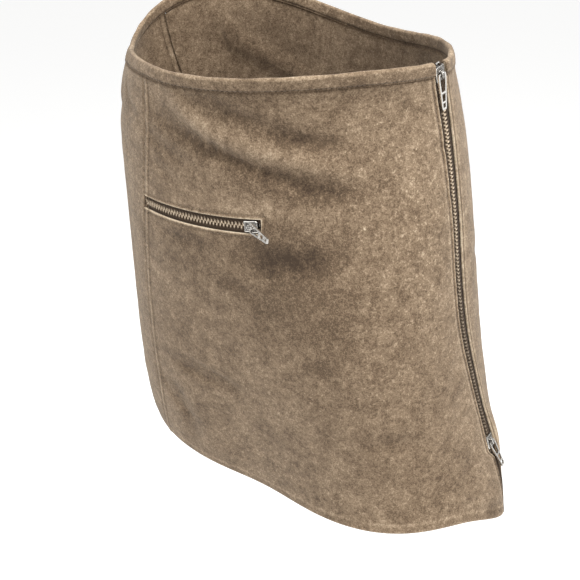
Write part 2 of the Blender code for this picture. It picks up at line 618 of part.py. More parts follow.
# ------------------------------------------------------------------ the whole skirt
def build():
    for old in list(bpy.data.objects):
        bpy.data.objects.remove(old)
    suede = material("suede", (0.27, 0.20, 0.14), 0.95)
    cloth_tape = material("zip_tape", (0.06, 0.045, 0.03), 0.9)
    metal = material("antique_metal", (0.42, 0.40, 0.37), 0.4, 1.0)
    bag_cloth = material("pocket_cotton", (0.20, 0.16, 0.12), 0.9)
    build_panels(suede)
    build_binding(suede)
    build_main_zip(cloth_tape, metal)
    build_pocket(cloth_tape, metal, bag_cloth)
    build_sliders(metal)


build()
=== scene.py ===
# %% [markdown]
# # A suede mini skirt with exposed zips
#
# The skirt is one tube of soft suede: a front, a side and a back panel, a narrow binding round
# the waist, a long two-way zip down the wearer's left and a short pocket zip across the front.
# The frame holds its plain solids. This lesson lays the finished cloth, the stitches and the
# zips on the same form, so that each piece can be looked at closely.

# %% Load the frame
import random
from collections import namedtuple

import bmesh
import bpy
import numpy as np
from mathutils import Matrix, Vector


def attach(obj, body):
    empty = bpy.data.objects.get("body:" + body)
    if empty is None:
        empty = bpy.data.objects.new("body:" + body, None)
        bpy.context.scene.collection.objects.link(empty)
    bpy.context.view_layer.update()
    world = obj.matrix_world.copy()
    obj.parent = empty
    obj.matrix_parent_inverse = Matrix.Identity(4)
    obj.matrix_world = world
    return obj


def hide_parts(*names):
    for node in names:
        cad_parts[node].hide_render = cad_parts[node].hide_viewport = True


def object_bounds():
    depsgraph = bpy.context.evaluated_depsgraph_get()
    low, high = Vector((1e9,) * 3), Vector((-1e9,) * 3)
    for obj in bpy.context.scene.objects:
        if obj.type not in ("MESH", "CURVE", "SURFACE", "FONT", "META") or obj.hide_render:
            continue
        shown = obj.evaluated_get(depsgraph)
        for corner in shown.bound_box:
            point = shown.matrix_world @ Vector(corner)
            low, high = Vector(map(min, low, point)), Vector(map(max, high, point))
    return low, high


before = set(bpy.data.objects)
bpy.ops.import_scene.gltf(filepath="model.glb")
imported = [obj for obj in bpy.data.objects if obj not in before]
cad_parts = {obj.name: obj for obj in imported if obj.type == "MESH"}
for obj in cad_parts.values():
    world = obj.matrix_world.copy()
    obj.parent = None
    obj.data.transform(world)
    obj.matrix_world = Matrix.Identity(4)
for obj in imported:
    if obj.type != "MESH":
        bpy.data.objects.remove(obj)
SKIRT, TOP_TAB, BOTTOM_TAB, POCKET_TAB = "skirt", "top_tab", "bottom_tab", "pocket_tab"
MM = 0.001


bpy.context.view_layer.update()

# %% [markdown]
# ## The camera
#
# A camera is easiest to place as a photographer would: walk round the skirt, rise above the
# waist, step back, then aim. The lens follows from the picture's width in pixels and its focal
# length in pixels, so the frame matches without any shift.

# %% Place the camera
IMAGE_WIDE = 580
WALK_ROUND, RISE, ROLL = 39.325, 23.465, -1.746  # degrees
STEP_BACK, LOOK_AT = 0.8969, Vector((0.0, 0.0, -0.2))
AIM_RIGHT, AIM_UP = 0.01294, -0.03338
FOCAL_PIXELS, SENSOR = 977.75, 36.0
UPWARDS = Vector((0, 0, 1))


def direction(turn, rise):
    """The way from the skirt to a place so many degrees round it and above it."""
    turn, rise = np.radians(turn), np.radians(rise)
    return Vector((np.sin(turn) * np.cos(rise), -np.cos(turn) * np.cos(rise), np.sin(rise)))


def put_in_scene(name, data):
    made = bpy.data.objects.new(name, data)
    bpy.context.scene.collection.objects.link(made)
    return made


def place_camera():
    """A camera that looks at the skirt from its front left, a little above the waist."""
    back = direction(WALK_ROUND, RISE)
    right = (-back).cross(UPWARDS).normalized()
    ahead = (-back + AIM_RIGHT * right + AIM_UP * right.cross(-back)).normalized()
    right = ahead.cross(UPWARDS).normalized()
    axes = Matrix((right, right.cross(ahead), -ahead)).transposed().to_4x4()
    data = bpy.data.cameras.new("photographer")
    data.sensor_width, data.lens = SENSOR, FOCAL_PIXELS / IMAGE_WIDE * SENSOR
    camera = put_in_scene("photographer", data)
    roll = Matrix.Rotation(np.radians(ROLL), 4, "Z")
    camera.matrix_world = Matrix.Translation(LOOK_AT + STEP_BACK * back) @ axes @ roll
    bpy.context.scene.camera = camera
    print("camera at", [round(value, 3) for value in camera.location], "lens", round(data.lens, 2))


place_camera()

# %% [markdown]
# ## A pale studio
#
# Suede drinks light, so it wants large soft sources. One broad lamp stands to the right and
# above, a weaker one fills the left, and an almost white floor and world close the room.

# %% Floor, world and lamps
FLOOR_DROP, FLOOR_HALF = 0.62, 30.0  # metres
PAPER, PAPER_GLOW = (0.93, 0.93, 0.925, 1), 0.30
SEEN_WHITE, WORLD_STRENGTH = (1.3, 1.3, 1.3, 1), 0.78
DUSK_TO_WHITE = ((0.05, (0.20, 0.19, 0.18)), (0.55, (1.0, 1.0, 1.0)))
Lamp = namedtuple("Lamp", "name turn rise away wide watts")
LAMPS = (
    Lamp("window", 80.0, 44.0, 1.9, 1.1, 29.0),
    Lamp("ceiling", 15.0, 70.0, 1.8, 1.2, 18.0),
    Lamp("wall_bounce", -40.0, 20.0, 2.2, 1.6, 9.0),
    Lamp("back_bounce", 200.0, 25.0, 2.2, 1.8, 12.0),
)


def feed(tree, socket, value):
    """Sets an input to a value, or links another node's output to it."""
    if isinstance(value, bpy.types.NodeSocket):
        tree.links.new(value, socket)
    else:
        socket.default_value = value


def fill(tree, node, **values):
    """Feeds some of a node's inputs, by name."""
    for name, value in values.items():
        feed(tree, node.inputs[name.replace("_", " ")], value)
    return node


def add_node(tree, kind, **values):
    return fill(tree, tree.nodes.new(kind), **values)


def ramp(tree, value, stops):
    made = add_node(tree, "ShaderNodeValToRGB", Fac=value)
    points = made.color_ramp.elements
    while len(points) < len(stops):
        points.new(0.5)
    for point, (position, colour) in zip(points, stops):
        point.position, point.color = position, (*colour, 1)
    return made.outputs["Color"]


def new_material(name, **values):
    """A material, its tree, and its shader with some of its inputs set."""
    made = bpy.data.materials.new(name)
    made.use_nodes = True
    tree = made.node_tree
    return made, tree, fill(tree, tree.nodes["Principled BSDF"], **values)


def into_mesh(shape, name):
    mesh = bpy.data.meshes.new(name)
    shape.to_mesh(mesh)
    shape.free()
    return mesh


def lay_floor():
    shape = bmesh.new()
    bmesh.ops.create_grid(shape, x_segments=1, y_segments=1, size=FLOOR_HALF)
    bmesh.ops.translate(shape, vec=(0, 0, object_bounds()[0].z - FLOOR_DROP), verts=shape.verts)
    floor = put_in_scene("studio_floor", into_mesh(shape, "studio_floor"))
    paper = new_material("studio_paper", Roughness=0.9, Base_Color=PAPER, Emission_Color=PAPER,
                         Emission_Strength=PAPER_GLOW)[0]
    floor.data.materials.append(paper)


def hang_lamps():
    for lamp in LAMPS:
        data = bpy.data.lights.new(lamp.name, "AREA")
        data.shape, data.size, data.energy = "DISK", lamp.wide, lamp.watts
        made, away = put_in_scene(lamp.name, data), direction(lamp.turn, lamp.rise)
        made.location = LOOK_AT + lamp.away * away
        made.rotation_euler = away.to_track_quat("Z", "Y").to_euler()


def light_room():
    """A dusky horizon for the metal to mirror, though the room itself looks white all round."""
    world = bpy.data.worlds.new("white_room")
    world.use_nodes = True
    tree = world.node_tree
    way = add_node(tree, "ShaderNodeTexCoord").outputs["Generated"]
    upwards = add_node(tree, "ShaderNodeSeparateXYZ", Vector=way).outputs["Z"]
    either = add_node(tree, "ShaderNodeMix")
    either.data_type = "RGBA"
    looked_at = add_node(tree, "ShaderNodeLightPath").outputs["Is Camera Ray"]
    fill(tree, either, Factor=looked_at, A=ramp(tree, upwards, DUSK_TO_WHITE), B=SEEN_WHITE)
    fill(tree, tree.nodes["Background"], Color=either.outputs["Result"], Strength=WORLD_STRENGTH)
    bpy.context.scene.world = world
    bpy.context.scene.view_settings.view_transform = "Standard"


lay_floor()
hang_lamps()
light_room()

# %% [markdown]
# ## The skirt's form
#
# Every piece lies on one surface. A place on it has two numbers: its angle round the body, from
# centre front towards the wearer's left, and its drop, 0 at the waist and 1 at the hem. The
# outline is a soft square at five heights, bent by a few waves, with a ridge behind the zip.
# The same numbers shaped the solids, so cloth that is laid on this surface fits them.

# %% Sizes of the form, in millimetres and degrees
SKIRT_DROP, CLOTH, LAY, SEAM_GAP = 391.5, 1.6, 0.3, 0.3
ROUNDNESS = (2.05, 2.35)
Section = namedtuple("Section", "drop half_width half_depth to_left to_back turn")
SECTIONS = (
    Section(0.00, 155.5, 99.0, 0.0, 0.0, 7.0),
    Section(0.25, 169.0, 109.0, 8.5, 8.0, 2.0),
    Section(0.50, 175.5, 116.0, 12.5, 14.0, -5.0),
    Section(0.75, 180.5, 115.0, 16.0, 20.5, -7.0),
    Section(1.00, 191.5, 111.0, 23.5, 29.5, -13.0),
)
Wave = namedtuple("Wave", "count waist_cos waist_sin hem_cos hem_sin")
OUTLINE_WAVES = (
    Wave(2, 3.0, 4.0, -3.5, -12.0),
    Wave(3, 3.0, 0.0, -3.0, -4.0),
    Wave(4, 0.0, -1.5, -1.5, -2.0),
    Wave(5, -0.5, 0.5, -1.5, -2.0),
)
EDGE_WAVES = (
    Wave(2, 2.5, 9.0, -5.0, 3.5),
    Wave(3, 2.0, -5.0, -3.5, -2.0),
    Wave(4, -3.0, 1.5, 1.5, -0.5),
)
DRAWN_IN = (
    Wave(0, -2.5, 0.0, 0.0, 0.0),
    Wave(1, -1.0, -8.0, 0.0, 0.0),
    Wave(2, -4.5, -10.0, 0.0, 0.0),
)
DRAWN_DEEP = 0.07
WAIST_TILT, HEM_TILT = (-0.005, 0.100), (-0.040, 0.0)
Line = namedtuple("Line", "waist middle hem")
MAIN_ZIP = Line(74.3, 95.85, 110.3)
FRONT_SEAM = Line(-24.0, -26.5, -27.0)
BACK_SEAM = Line(-118.0, -121.0, -124.0)
ZIP_RIDGE = Line(6.0, -3.0, 11.0)
RIDGE_BEHIND, RIDGE_FRONT, RIDGE_BACK, RIDGE_SOFT = 8.1, 45.0, 28.0, 6.0
SLIT_FALL, SLIT_FALL_FROM = 4.0, 0.91
Sway = namedtuple("Sway", "drop across reach")
ZIP_SWAYS = (Sway(0.33, 1.9, 0.09), Sway(0.57, -1.9, 0.09), Sway(0.80, 0.8, 0.06),
             Sway(1.00, 8.0, 0.08))
DIP_AT, DIP_DEEP, DIP_REACH = 113.0, 5.5, 14.0
HEM_TURN, HEM_TURN_WALL, BINDING_DEEP, BINDING_WALL = 22.0, 3.2, 9.5, 1.0
ZIP_OPENING, POCKET_OPENING, SLIT_GAP, SLIT_AT = 13.0, 12.0, 1.5, 2.5
SLIT_FROM, SLIT_CLOSED = 0.854, 0.878
TAPE_WALL, TAPE_DEEP = 1.0, 14.0
TAPE_MIDDLE = -(CLOTH + LAY + TAPE_WALL / 2)
TOP_SLIDER_DROP, BOTTOM_SLIDER_DROP = 0.0198, 0.836
POCKET_START, POCKET_END, POCKET_SLIDER = -25.7, 18.6, 15.6
POCKET_DROP, POCKET_SLOPE = 0.303, -0.00028
BAG_WIDE, BAG_DEEP = 150.0, 135.0
FLAT_RADIUS, WAIST_ROUND = 150.0, 850.0
PER_MM = 1 / SKIRT_DROP  # a drop of one millimetre
MM_PER_DEGREE = 2.7  # across the front panel at the pocket

# %% [markdown]
# ## Folds and creases
#
# A worn skirt pulls. The strain runs in long soft troughs from the right hip towards the zip,
# with a ridge between them, and suede keeps fainter creases where it was sat in. Each fold is a
# curve through three places, with a height across it that fades to both ends. The wide ones
# are in the solids too. The fine ones are only here.

# %% The folds, by place and size
Fold = namedtuple("Fold", "angle0 drop0 angle1 drop1 angle2 drop2 height width")
FOLDS = [Fold(*row) for row in (
    (-20, 0.092, 8, 0.158, 43, 0.228, -4.0, 9.0), (-9, 0.04, 10, 0.134, 46, 0.196, 3.5, 9.0),
    (1, 0.039, 17, 0.093, 37, 0.142, -2.5, 7.0), (-25, 0.135, -16, 0.161, -4, 0.186, -1.8, 7.0),
    (14, 0.375, 28, 0.366, 42, 0.365, -2.5, 15.0), (-14, 0.696, -5, 0.706, 9, 0.712, -1.8, 7.0),
    (-21, 0.766, -15, 0.862, -15.5, 0.97, -2.2, 8.0), (51, 0.789, 60, 0.785, 68, 0.797, -1.4, 8.0),
    (117, 0.88, 118, 0.94, 119, 1.01, -5.0, 11.0), (113, 0.79, 114.5, 0.855, 115, 0.915, 3.6, 12.0),
    (-50, 0.07, -62, 0.15, -84, 0.21, -2.6, 10.0), (-58, 0.72, -66, 0.82, -64, 0.96, -3.0, 12.0),
    (-104, 0.3, -92, 0.35, -76, 0.37, -2.2, 12.0), (112, 0.1, 132, 0.17, 158, 0.2, -3.2, 10.0),
    (118, 0.05, 138, 0.115, 162, 0.145, 2.4, 9.0), (222, 0.1, 204, 0.18, 180, 0.215, -3.0, 11.0),
    (146, 0.45, 178, 0.475, 208, 0.455, -2.8, 15.0), (160, 0.7, 156, 0.82, 158, 0.97, -3.2, 14.0),
    (206, 0.74, 212, 0.85, 210, 0.97, -2.6, 13.0),
)]
CREASES = [Fold(*row) for row in (
    # short pulls below the binding
    (-6, 0.03, 4, 0.074, 16, 0.076, -1.3, 5.0), (18, 0.116, 28, 0.124, 40, 0.14, -1.3, 5.0),
    (-24, 0.055, -14, 0.075, -3, 0.11, -0.7, 4.5), (-22, 0.196, -16, 0.214, -9, 0.232, -0.8, 4.0),
    (24, 0.05, 34, 0.085, 50, 0.1, 1.1, 6.0),
    # sharper core of the long trough
    (4, 0.15, 18, 0.19, 36, 0.23, -1.7, 3.6),
    # small pulls at the zip
    (58, 0.06, 62, 0.085, 70, 0.095, -0.9, 4.0), (72, 0.15, 77, 0.165, 83, 0.165, -0.8, 4.0),
    (84, 0.255, 79, 0.275, 72, 0.28, -0.7, 4.0),
    # and at the front seam
    (-43, 0.05, -38, 0.09, -31, 0.11, -0.9, 4.0), (-45, 0.18, -39, 0.21, -31, 0.22, -0.8, 4.0),
    # under the pocket zip
    (-20, 0.352, -8, 0.36, 2, 0.352, -0.8, 6.0), (6, 0.428, 13, 0.44, 22, 0.47, -0.7, 5.0),
    # low on the front
    (-12, 0.676, -2, 0.69, 6, 0.705, -0.9, 3.5), (-18, 0.7, -10, 0.716, 4, 0.728, -0.6, 4.0),
    (-24, 0.76, -20, 0.83, -11, 0.88, -0.9, 4.5), (36, 0.59, 40, 0.64, 38, 0.77, -0.6, 6.0),
    (44, 0.48, 47, 0.52, 43, 0.56, -0.6, 5.0),
    # the side panel
    (-44, 0.3, -40, 0.42, -36, 0.55, -0.8, 6.0), (-96, 0.1, -86, 0.17, -74, 0.2, -1.2, 5.0),
    (-112, 0.56, -98, 0.6, -84, 0.6, -1.0, 6.0), (-76, 0.74, -80, 0.84, -79, 0.95, -1.0, 6.0),
    # the back panel
    (120, 0.22, 136, 0.26, 156, 0.27, -1.0, 5.0), (224, 0.22, 208, 0.27, 190, 0.28, -1.0, 5.0),
    (150, 0.52, 176, 0.545, 200, 0.53, -1.1, 6.0), (128, 0.6, 134, 0.7, 132, 0.8, -0.9, 6.0),
    (182, 0.66, 184, 0.78, 182, 0.9, -1.0, 7.0), (110, 0.4, 116, 0.42, 126, 0.43, -0.8, 5.0),
    # the hem's corner at the slit
    (97, 0.972, 102, 0.982, 108, 0.978, -1.1, 3.5), (99, 0.95, 104, 0.957, 109, 0.952, 0.7, 3.5),
)]
print(len(FOLDS), "folds and", len(CREASES), "creases")

# %% The surface, as functions of angle and drop
STEP_ROUND, STEP_DOWN = 0.4, 0.002  # degrees and drop, to measure a direction over
FINE, ROUGH = (25, 17), (13, 9)  # how finely the folds and creases are followed
BACK_FROM = -140.0  # the hidden side, where angles may jump by a turn


def wrapped(angle, lowest=-180.0):
    """The same angle, from the lowest up to a whole turn more."""
    return (angle - lowest) % 360 + lowest


def bell(away, wide):
    """1 at no distance and near 0 at twice the width."""
    return np.exp(-(away / wide) ** 2)


def through(line, drop):
    """The quadratic through a line's waist, middle and hem values."""
    return (line.waist * (1 - drop) * (1 - 2 * drop) + 4 * line.middle * drop * (1 - drop)
            + line.hem * drop * (2 * drop - 1))


def section_curve(column):
    drops = [row.drop for row in SECTIONS]
    values = [getattr(row, column) for row in SECTIONS]
    return np.polynomial.Polynomial.fit(drops, values, len(drops) - 1)


HALF_WIDTH, HALF_DEPTH, TO_LEFT, TO_BACK, TURN = map(section_curve, Section._fields[1:])


def wave_sum(waves, turned, at_waist):
    total = np.zeros_like(turned)
    for wave in waves:
        cosine, sine = ((wave.waist_cos, wave.waist_sin) if at_waist
                        else (wave.hem_cos, wave.hem_sin))
        total += cosine * np.cos(wave.count * turned) + sine * np.sin(wave.count * turned)
    return total


def ridge(angle, drop):
    zip_angle = through(MAIN_ZIP, drop)
    per_radian = np.hypot(HALF_WIDTH(drop) * np.cos(np.radians(zip_angle)),
                          HALF_DEPTH(drop) * np.sin(np.radians(zip_angle)))
    away = np.radians(wrapped(angle - zip_angle)) * per_radian - RIDGE_BEHIND
    reach = np.where(away < 0, RIDGE_FRONT, RIDGE_BACK)
    fall = SLIT_FALL * np.clip((drop - SLIT_FALL_FROM) / (1 - SLIT_FALL_FROM), 0, None) ** 2
    height = through(ZIP_RIDGE, drop) - fall
    return height * np.exp(-(np.hypot(away, RIDGE_SOFT) - RIDGE_SOFT) / reach)


def smooth_cloth(angle, drop):
    """Points of the cloth without its folds, in millimetres."""
    turned = np.radians(angle)
    sine, cosine = np.sin(turned), np.cos(turned)
    roundness = ROUNDNESS[0] + (ROUNDNESS[1] - ROUNDNESS[0]) * drop
    reach = (np.abs(sine) ** roundness + np.abs(cosine) ** roundness) ** (-1 / roundness)
    left, back = HALF_WIDTH(drop) * reach * sine, -HALF_DEPTH(drop) * reach * cosine
    out = ((1 - drop) ** 2 * wave_sum(OUTLINE_WAVES, turned, True)
           + drop ** 2 * wave_sum(OUTLINE_WAVES, turned, False) + ridge(angle, drop)
           - wave_sum(DRAWN_IN, turned, True) * np.exp(-drop / DRAWN_DEEP))
    stretch = 1 + out / np.hypot(left, back)
    left, back, turn = left * stretch, back * stretch, np.radians(TURN(drop))
    waist = WAIST_TILT[0] * left + WAIST_TILT[1] * back + wave_sum(EDGE_WAVES, turned, True)
    hem = (HEM_TILT[0] * left + HEM_TILT[1] * back + wave_sum(EDGE_WAVES, turned, False)
           - DIP_DEEP * bell(wrapped(angle - DIP_AT), DIP_REACH) - SKIRT_DROP)
    return np.stack([left * np.cos(turn) - back * np.sin(turn) + TO_LEFT(drop),
                     left * np.sin(turn) + back * np.cos(turn) + TO_BACK(drop),
                     waist * (1 - drop) + hem * drop], -1)


def outward(surface, angle, drop):
    """Unit normals that point away from the wearer."""
    across = surface(angle + STEP_ROUND, drop) - surface(angle - STEP_ROUND, drop)
    down = surface(angle, drop + STEP_DOWN) - surface(angle, drop - STEP_DOWN)
    normal = np.cross(down, across)
    return normal / np.linalg.norm(normal, axis=-1, keepdims=True)


def fold_height(angle, drop, folds, steps):
    """Sum of soft troughs and ridges. Each is worked out only where it reaches."""
    angle = wrapped(angle, BACK_FROM)
    total = np.zeros(angle.shape)
    along = np.linspace(0, 1, steps)
    weights = ((1 - along) ** 2, 2 * along * (1 - along), along ** 2)
    fade = 1 - 0.75 * np.abs(2 * along - 1) ** 3

    def curve(start, middle, end):
        return weights[0] * start + weights[1] * (2 * middle - (start + end) / 2) + weights[2] * end

    for fold in folds:
        angles = curve(fold.angle0, fold.angle1, fold.angle2)
        drops = curve(fold.drop0, fold.drop1, fold.drop2)
        reach = 3 * fold.width
        far_round = np.ptp(angles) / 2 + np.degrees(reach / FLAT_RADIUS)
        near = ((np.abs(angle - angles.mean()) < far_round)
                & (np.abs(drop - drops.mean()) < np.ptp(drops) / 2 + reach / SKIRT_DROP))
        across = np.radians(angle[near][:, None] - angles) * FLAT_RADIUS
        down = (drop[near][:, None] - drops) * SKIRT_DROP
        bumps = fade * np.exp(-(across ** 2 + down ** 2) / fold.width ** 2)
        total[near] += fold.height * bumps.max(-1)
    return total


def folded(angle, drop, steps):
    """Height of all folds and creases together."""
    return fold_height(angle, drop, FOLDS, steps[0]) + fold_height(angle, drop, CREASES, steps[1])


def draped_cloth(angle, drop):
    """Points of the cloth's outer face with all its folds, in millimetres."""
    normal = outward(smooth_cloth, angle, drop)
    return smooth_cloth(angle, drop) + folded(angle, drop, FINE)[..., None] * normal


def laid(angle, drop, height):
    """Places on the cloth moved out by a height, in metres, and the way out there."""
    given = np.broadcast_arrays(angle, drop, height)
    angle, drop, height = (np.array(part, float) for part in given)
    normal = outward(draped_cloth, angle, drop)
    return (draped_cloth(angle, drop) + height[..., None] * normal) * MM, normal


def per_degree(angle, drop):
    """Millimetres across the cloth for one degree."""
    step = smooth_cloth(angle + STEP_ROUND, drop) - smooth_cloth(angle - STEP_ROUND, drop)
    return np.linalg.norm(step, axis=-1) / (2 * STEP_ROUND)


def beside(angle, drop, distance):
    return angle + distance / per_degree(angle, drop)


def zip_line(drop):
    """The angle of the main zip's centre, with its small sways."""
    across = sum(sway.across * bell(drop - sway.drop, sway.reach) for sway in ZIP_SWAYS)
    return beside(through(MAIN_ZIP, drop), drop, across)


def in_slit(drop):
    """0 above the slit and 1 in it, with a soft change between."""
    below = np.clip((drop - SLIT_FROM) / (SLIT_CLOSED - SLIT_FROM), 0, 1)
    return below * below * (3 - 2 * below)


def opening_edge(side, drop):
    """How far a cloth edge lies from the main zip's centre; in the slit both edges meet."""
    below = in_slit(drop)
    return side * ZIP_OPENING / 2 * (1 - below) + (SLIT_AT + side * SLIT_GAP / 2) * below


def pocket_drop(angle, lateral=0.0):
    return POCKET_DROP + POCKET_SLOPE * angle + lateral / SKIRT_DROP


sample = laid(np.array([0.0, 90.0]), np.array([0.5, 0.5]), 0.0)[0]
print("centre front and left side at half drop:", sample.round(3).tolist())

# %% [markdown]
# ## Making cloth
#
# A sheet starts as a flat grid from `create_grid`. Each of its vertices is then carried to its
# place on the form, `solidify` gives the wall its second face, and a small bevel rounds the cut
# edge as a folded leather edge is round. Numbers are kept on every vertex as layers, so the
# material can follow the cloth later: how worn, how pebbly and how brushed the place is, and
# where painted shade and painted light darken and lighten the worn and brushed tones.

# %% A sheet of cloth on the form
ANGLE, DROP, HEIGHT, WEAR_AND_SHADE, NAP_AND_SHADE, PEBBLE = "angle", "drop", "height", "wear_and_painted_shade", "nap_and_shade", "pebble"
RIM_TURN, SHARP_TURN = 1.1, 0.9  # radians: edges to round, and edges left sharp
PANEL_RIM, BINDING_RIM, ALLOWANCE_RIM, BAG_RIM, TAPE_RIM = 0.55, 0.3, 0.3, 0.5, 0.2  # mm


def spaced(start, *spans):
    """Rising numbers from a start, through spans that each have an end and a count of steps."""
    numbers = [start]
    for end, steps in spans:
        numbers.extend(np.linspace(numbers[-1], end, steps + 1)[1:])
    return np.array(numbers)


def write_layers(shape, layers):
    for name, values in layers.items():
        layer = shape.verts.layers.float.new(name)
        for vertex, value in zip(shape.verts, values):
            vertex[layer] = value


def read_layers(shape, verts, names):
    layers = [shape.verts.layers.float[name] for name in names]
    return [np.array([vertex[layer] for vertex in verts]) for layer in layers]


def flat_grid(columns, rows):
    """A grid of cloth, with the column and row of each vertex, which two layers keep as well."""
    shape = bmesh.new()
    bmesh.ops.create_grid(shape, x_segments=columns, y_segments=rows, size=0.5)
    flat = np.array([vertex.co for vertex in shape.verts])
    column, row = np.rint((flat[:, 0] + 0.5) * columns), np.rint((0.5 - flat[:, 1]) * rows)
    write_layers(shape, {"column": column, "row": row})
    return shape, column.astype(int), row.astype(int)


def lay_wall(shape, inner, names=(ANGLE, DROP, HEIGHT)):
    """Gives a sheet its second face and lays both on the form, by the layers named.

    inner takes those layers without the angle, and gives the inner face's drop and height.
    """
    made = bmesh.ops.solidify(shape, geom=shape.faces[:], thickness=MM)
    added = {part for part in made["geom"] if isinstance(part, bmesh.types.BMVert)}
    for inside in (False, True):
        verts = [vertex for vertex in shape.verts if (vertex in added) == inside]
        angle, *others = read_layers(shape, verts, names)
        drop, height = inner(*others) if inside else others[:2]
        for vertex, point in zip(verts, laid(angle, drop, height)[0]):
            vertex.co = point


def round_edges(shape, width, turn, segments=2):
    """Rounds the edges that turn by more than an angle. The width is in millimetres."""
    edges = [edge for edge in shape.edges if edge.is_manifold and edge.calc_face_angle() > turn]
    return bmesh.ops.bevel(shape, geom=edges, offset=width * MM, segments=segments, profile=0.5,
                           affect="EDGES", material=-1, clamp_overlap=True)


def round_rim(shape, width):
    """Rounds the sharp edges all round a wall."""
    shape.normal_update()
    round_edges(shape, width, RIM_TURN)


def finish_piece(shape, name, material, stands_for=(), body=SKIRT):
    """Turns a bmesh into a smooth object that rides on its body."""
    made = put_in_scene(name, into_mesh(shape, name))
    mesh = made.data
    mesh.shade_smooth()
    mesh.set_sharp_from_angle(angle=SHARP_TURN)
    mesh.materials.append(material)
    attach(made, body)
    if stands_for:
        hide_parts(*stands_for)
    print(f"{name}: {sum(len(face.vertices) - 2 for face in mesh.polygons)} triangles")


# %% [markdown]
# ## What the cloth does near its edges
#
# Cloth that is turned under and stitched has a small roll at its edge and a groove where the
# thread pulls it down. Between stitches it puckers a little. Away from the edges a hide is never
# quite flat, so a sum of a few long waves lifts it by a fraction of a millimetre.

# %% Rolls, grooves, puckers and the unevenness of a hide
ROLL_HIGH, ROLL_AT, ROLL_WIDE = 0.35, 0.9, 1.1
GROOVE_DEEP, GROOVE_AT, GROOVE_WIDE = 0.4, 3.0, 0.7
PUCKER_HIGH, PUCKER_LONG, PUCKER_REACH = 0.16, 11.0, 7.0
HIDE_HIGH = 0.22
hide_random = random.Random(11)
HIDE_WAVES = [(hide_random.uniform(-0.24, 0.24), hide_random.uniform(-0.2, 0.2),
               hide_random.uniform(0, 6.28), hide_random.uniform(0.4, 1.0)) for _ in range(14)]


def stitched_edge(distance):
    """Height of the cloth by its distance from a turned and stitched edge, in millimetres."""
    groove = GROOVE_DEEP * bell(distance - GROOVE_AT, GROOVE_WIDE)
    return ROLL_HIGH * bell(distance - ROLL_AT, ROLL_WIDE) - groove


def puckers(distance, along):
    """Small waves along a stitched edge."""
    uneven = along + 2.5 * np.sin(along / 17.0) + 1.7 * np.sin(along / 7.3 + 1.0)
    size = 0.6 + 0.4 * np.sin(along / 29.0 + 2.0)
    wave = np.sin(uneven * 2 * np.pi / PUCKER_LONG)
    return PUCKER_HIGH * size * wave * np.exp(-distance / PUCKER_REACH)


def hide_waves(angle, drop):
    across, down = np.radians(angle) * FLAT_RADIUS, drop * SKIRT_DROP
    total = sum(size * np.sin(a * across + b * down + phase) for a, b, phase, size in HIDE_WAVES)
    return HIDE_HIGH * total / len(HIDE_WAVES) ** 0.5


def lateral(at, angle, drop):
    """Millimetres from a line's own angle, positive towards the wearer's left."""
    return wrapped(angle - at) * per_degree(at, drop)


def from_opening(angle, drop):
    """Millimetres from the nearer cloth edge at the main zip, positive on the cloth."""
    across = lateral(zip_line(drop), angle, drop)
    front, back = opening_edge(-1, drop), opening_edge(1, drop)
    return np.where(across > (front + back) / 2, across - back, front - across)


def pocket_distance(angle, drop):
    """Distance from the pocket's opening, measured outwards from its edge."""
    down = np.abs(drop - pocket_drop(angle)) * SKIRT_DROP - POCKET_OPENING / 2
    past = (angle - POCKET_END) * MM_PER_DEGREE
    rounded = np.hypot(np.maximum(past, 0), np.maximum(down, 0))
    return np.where(past > 0, np.where(down > 0, rounded, past), down)
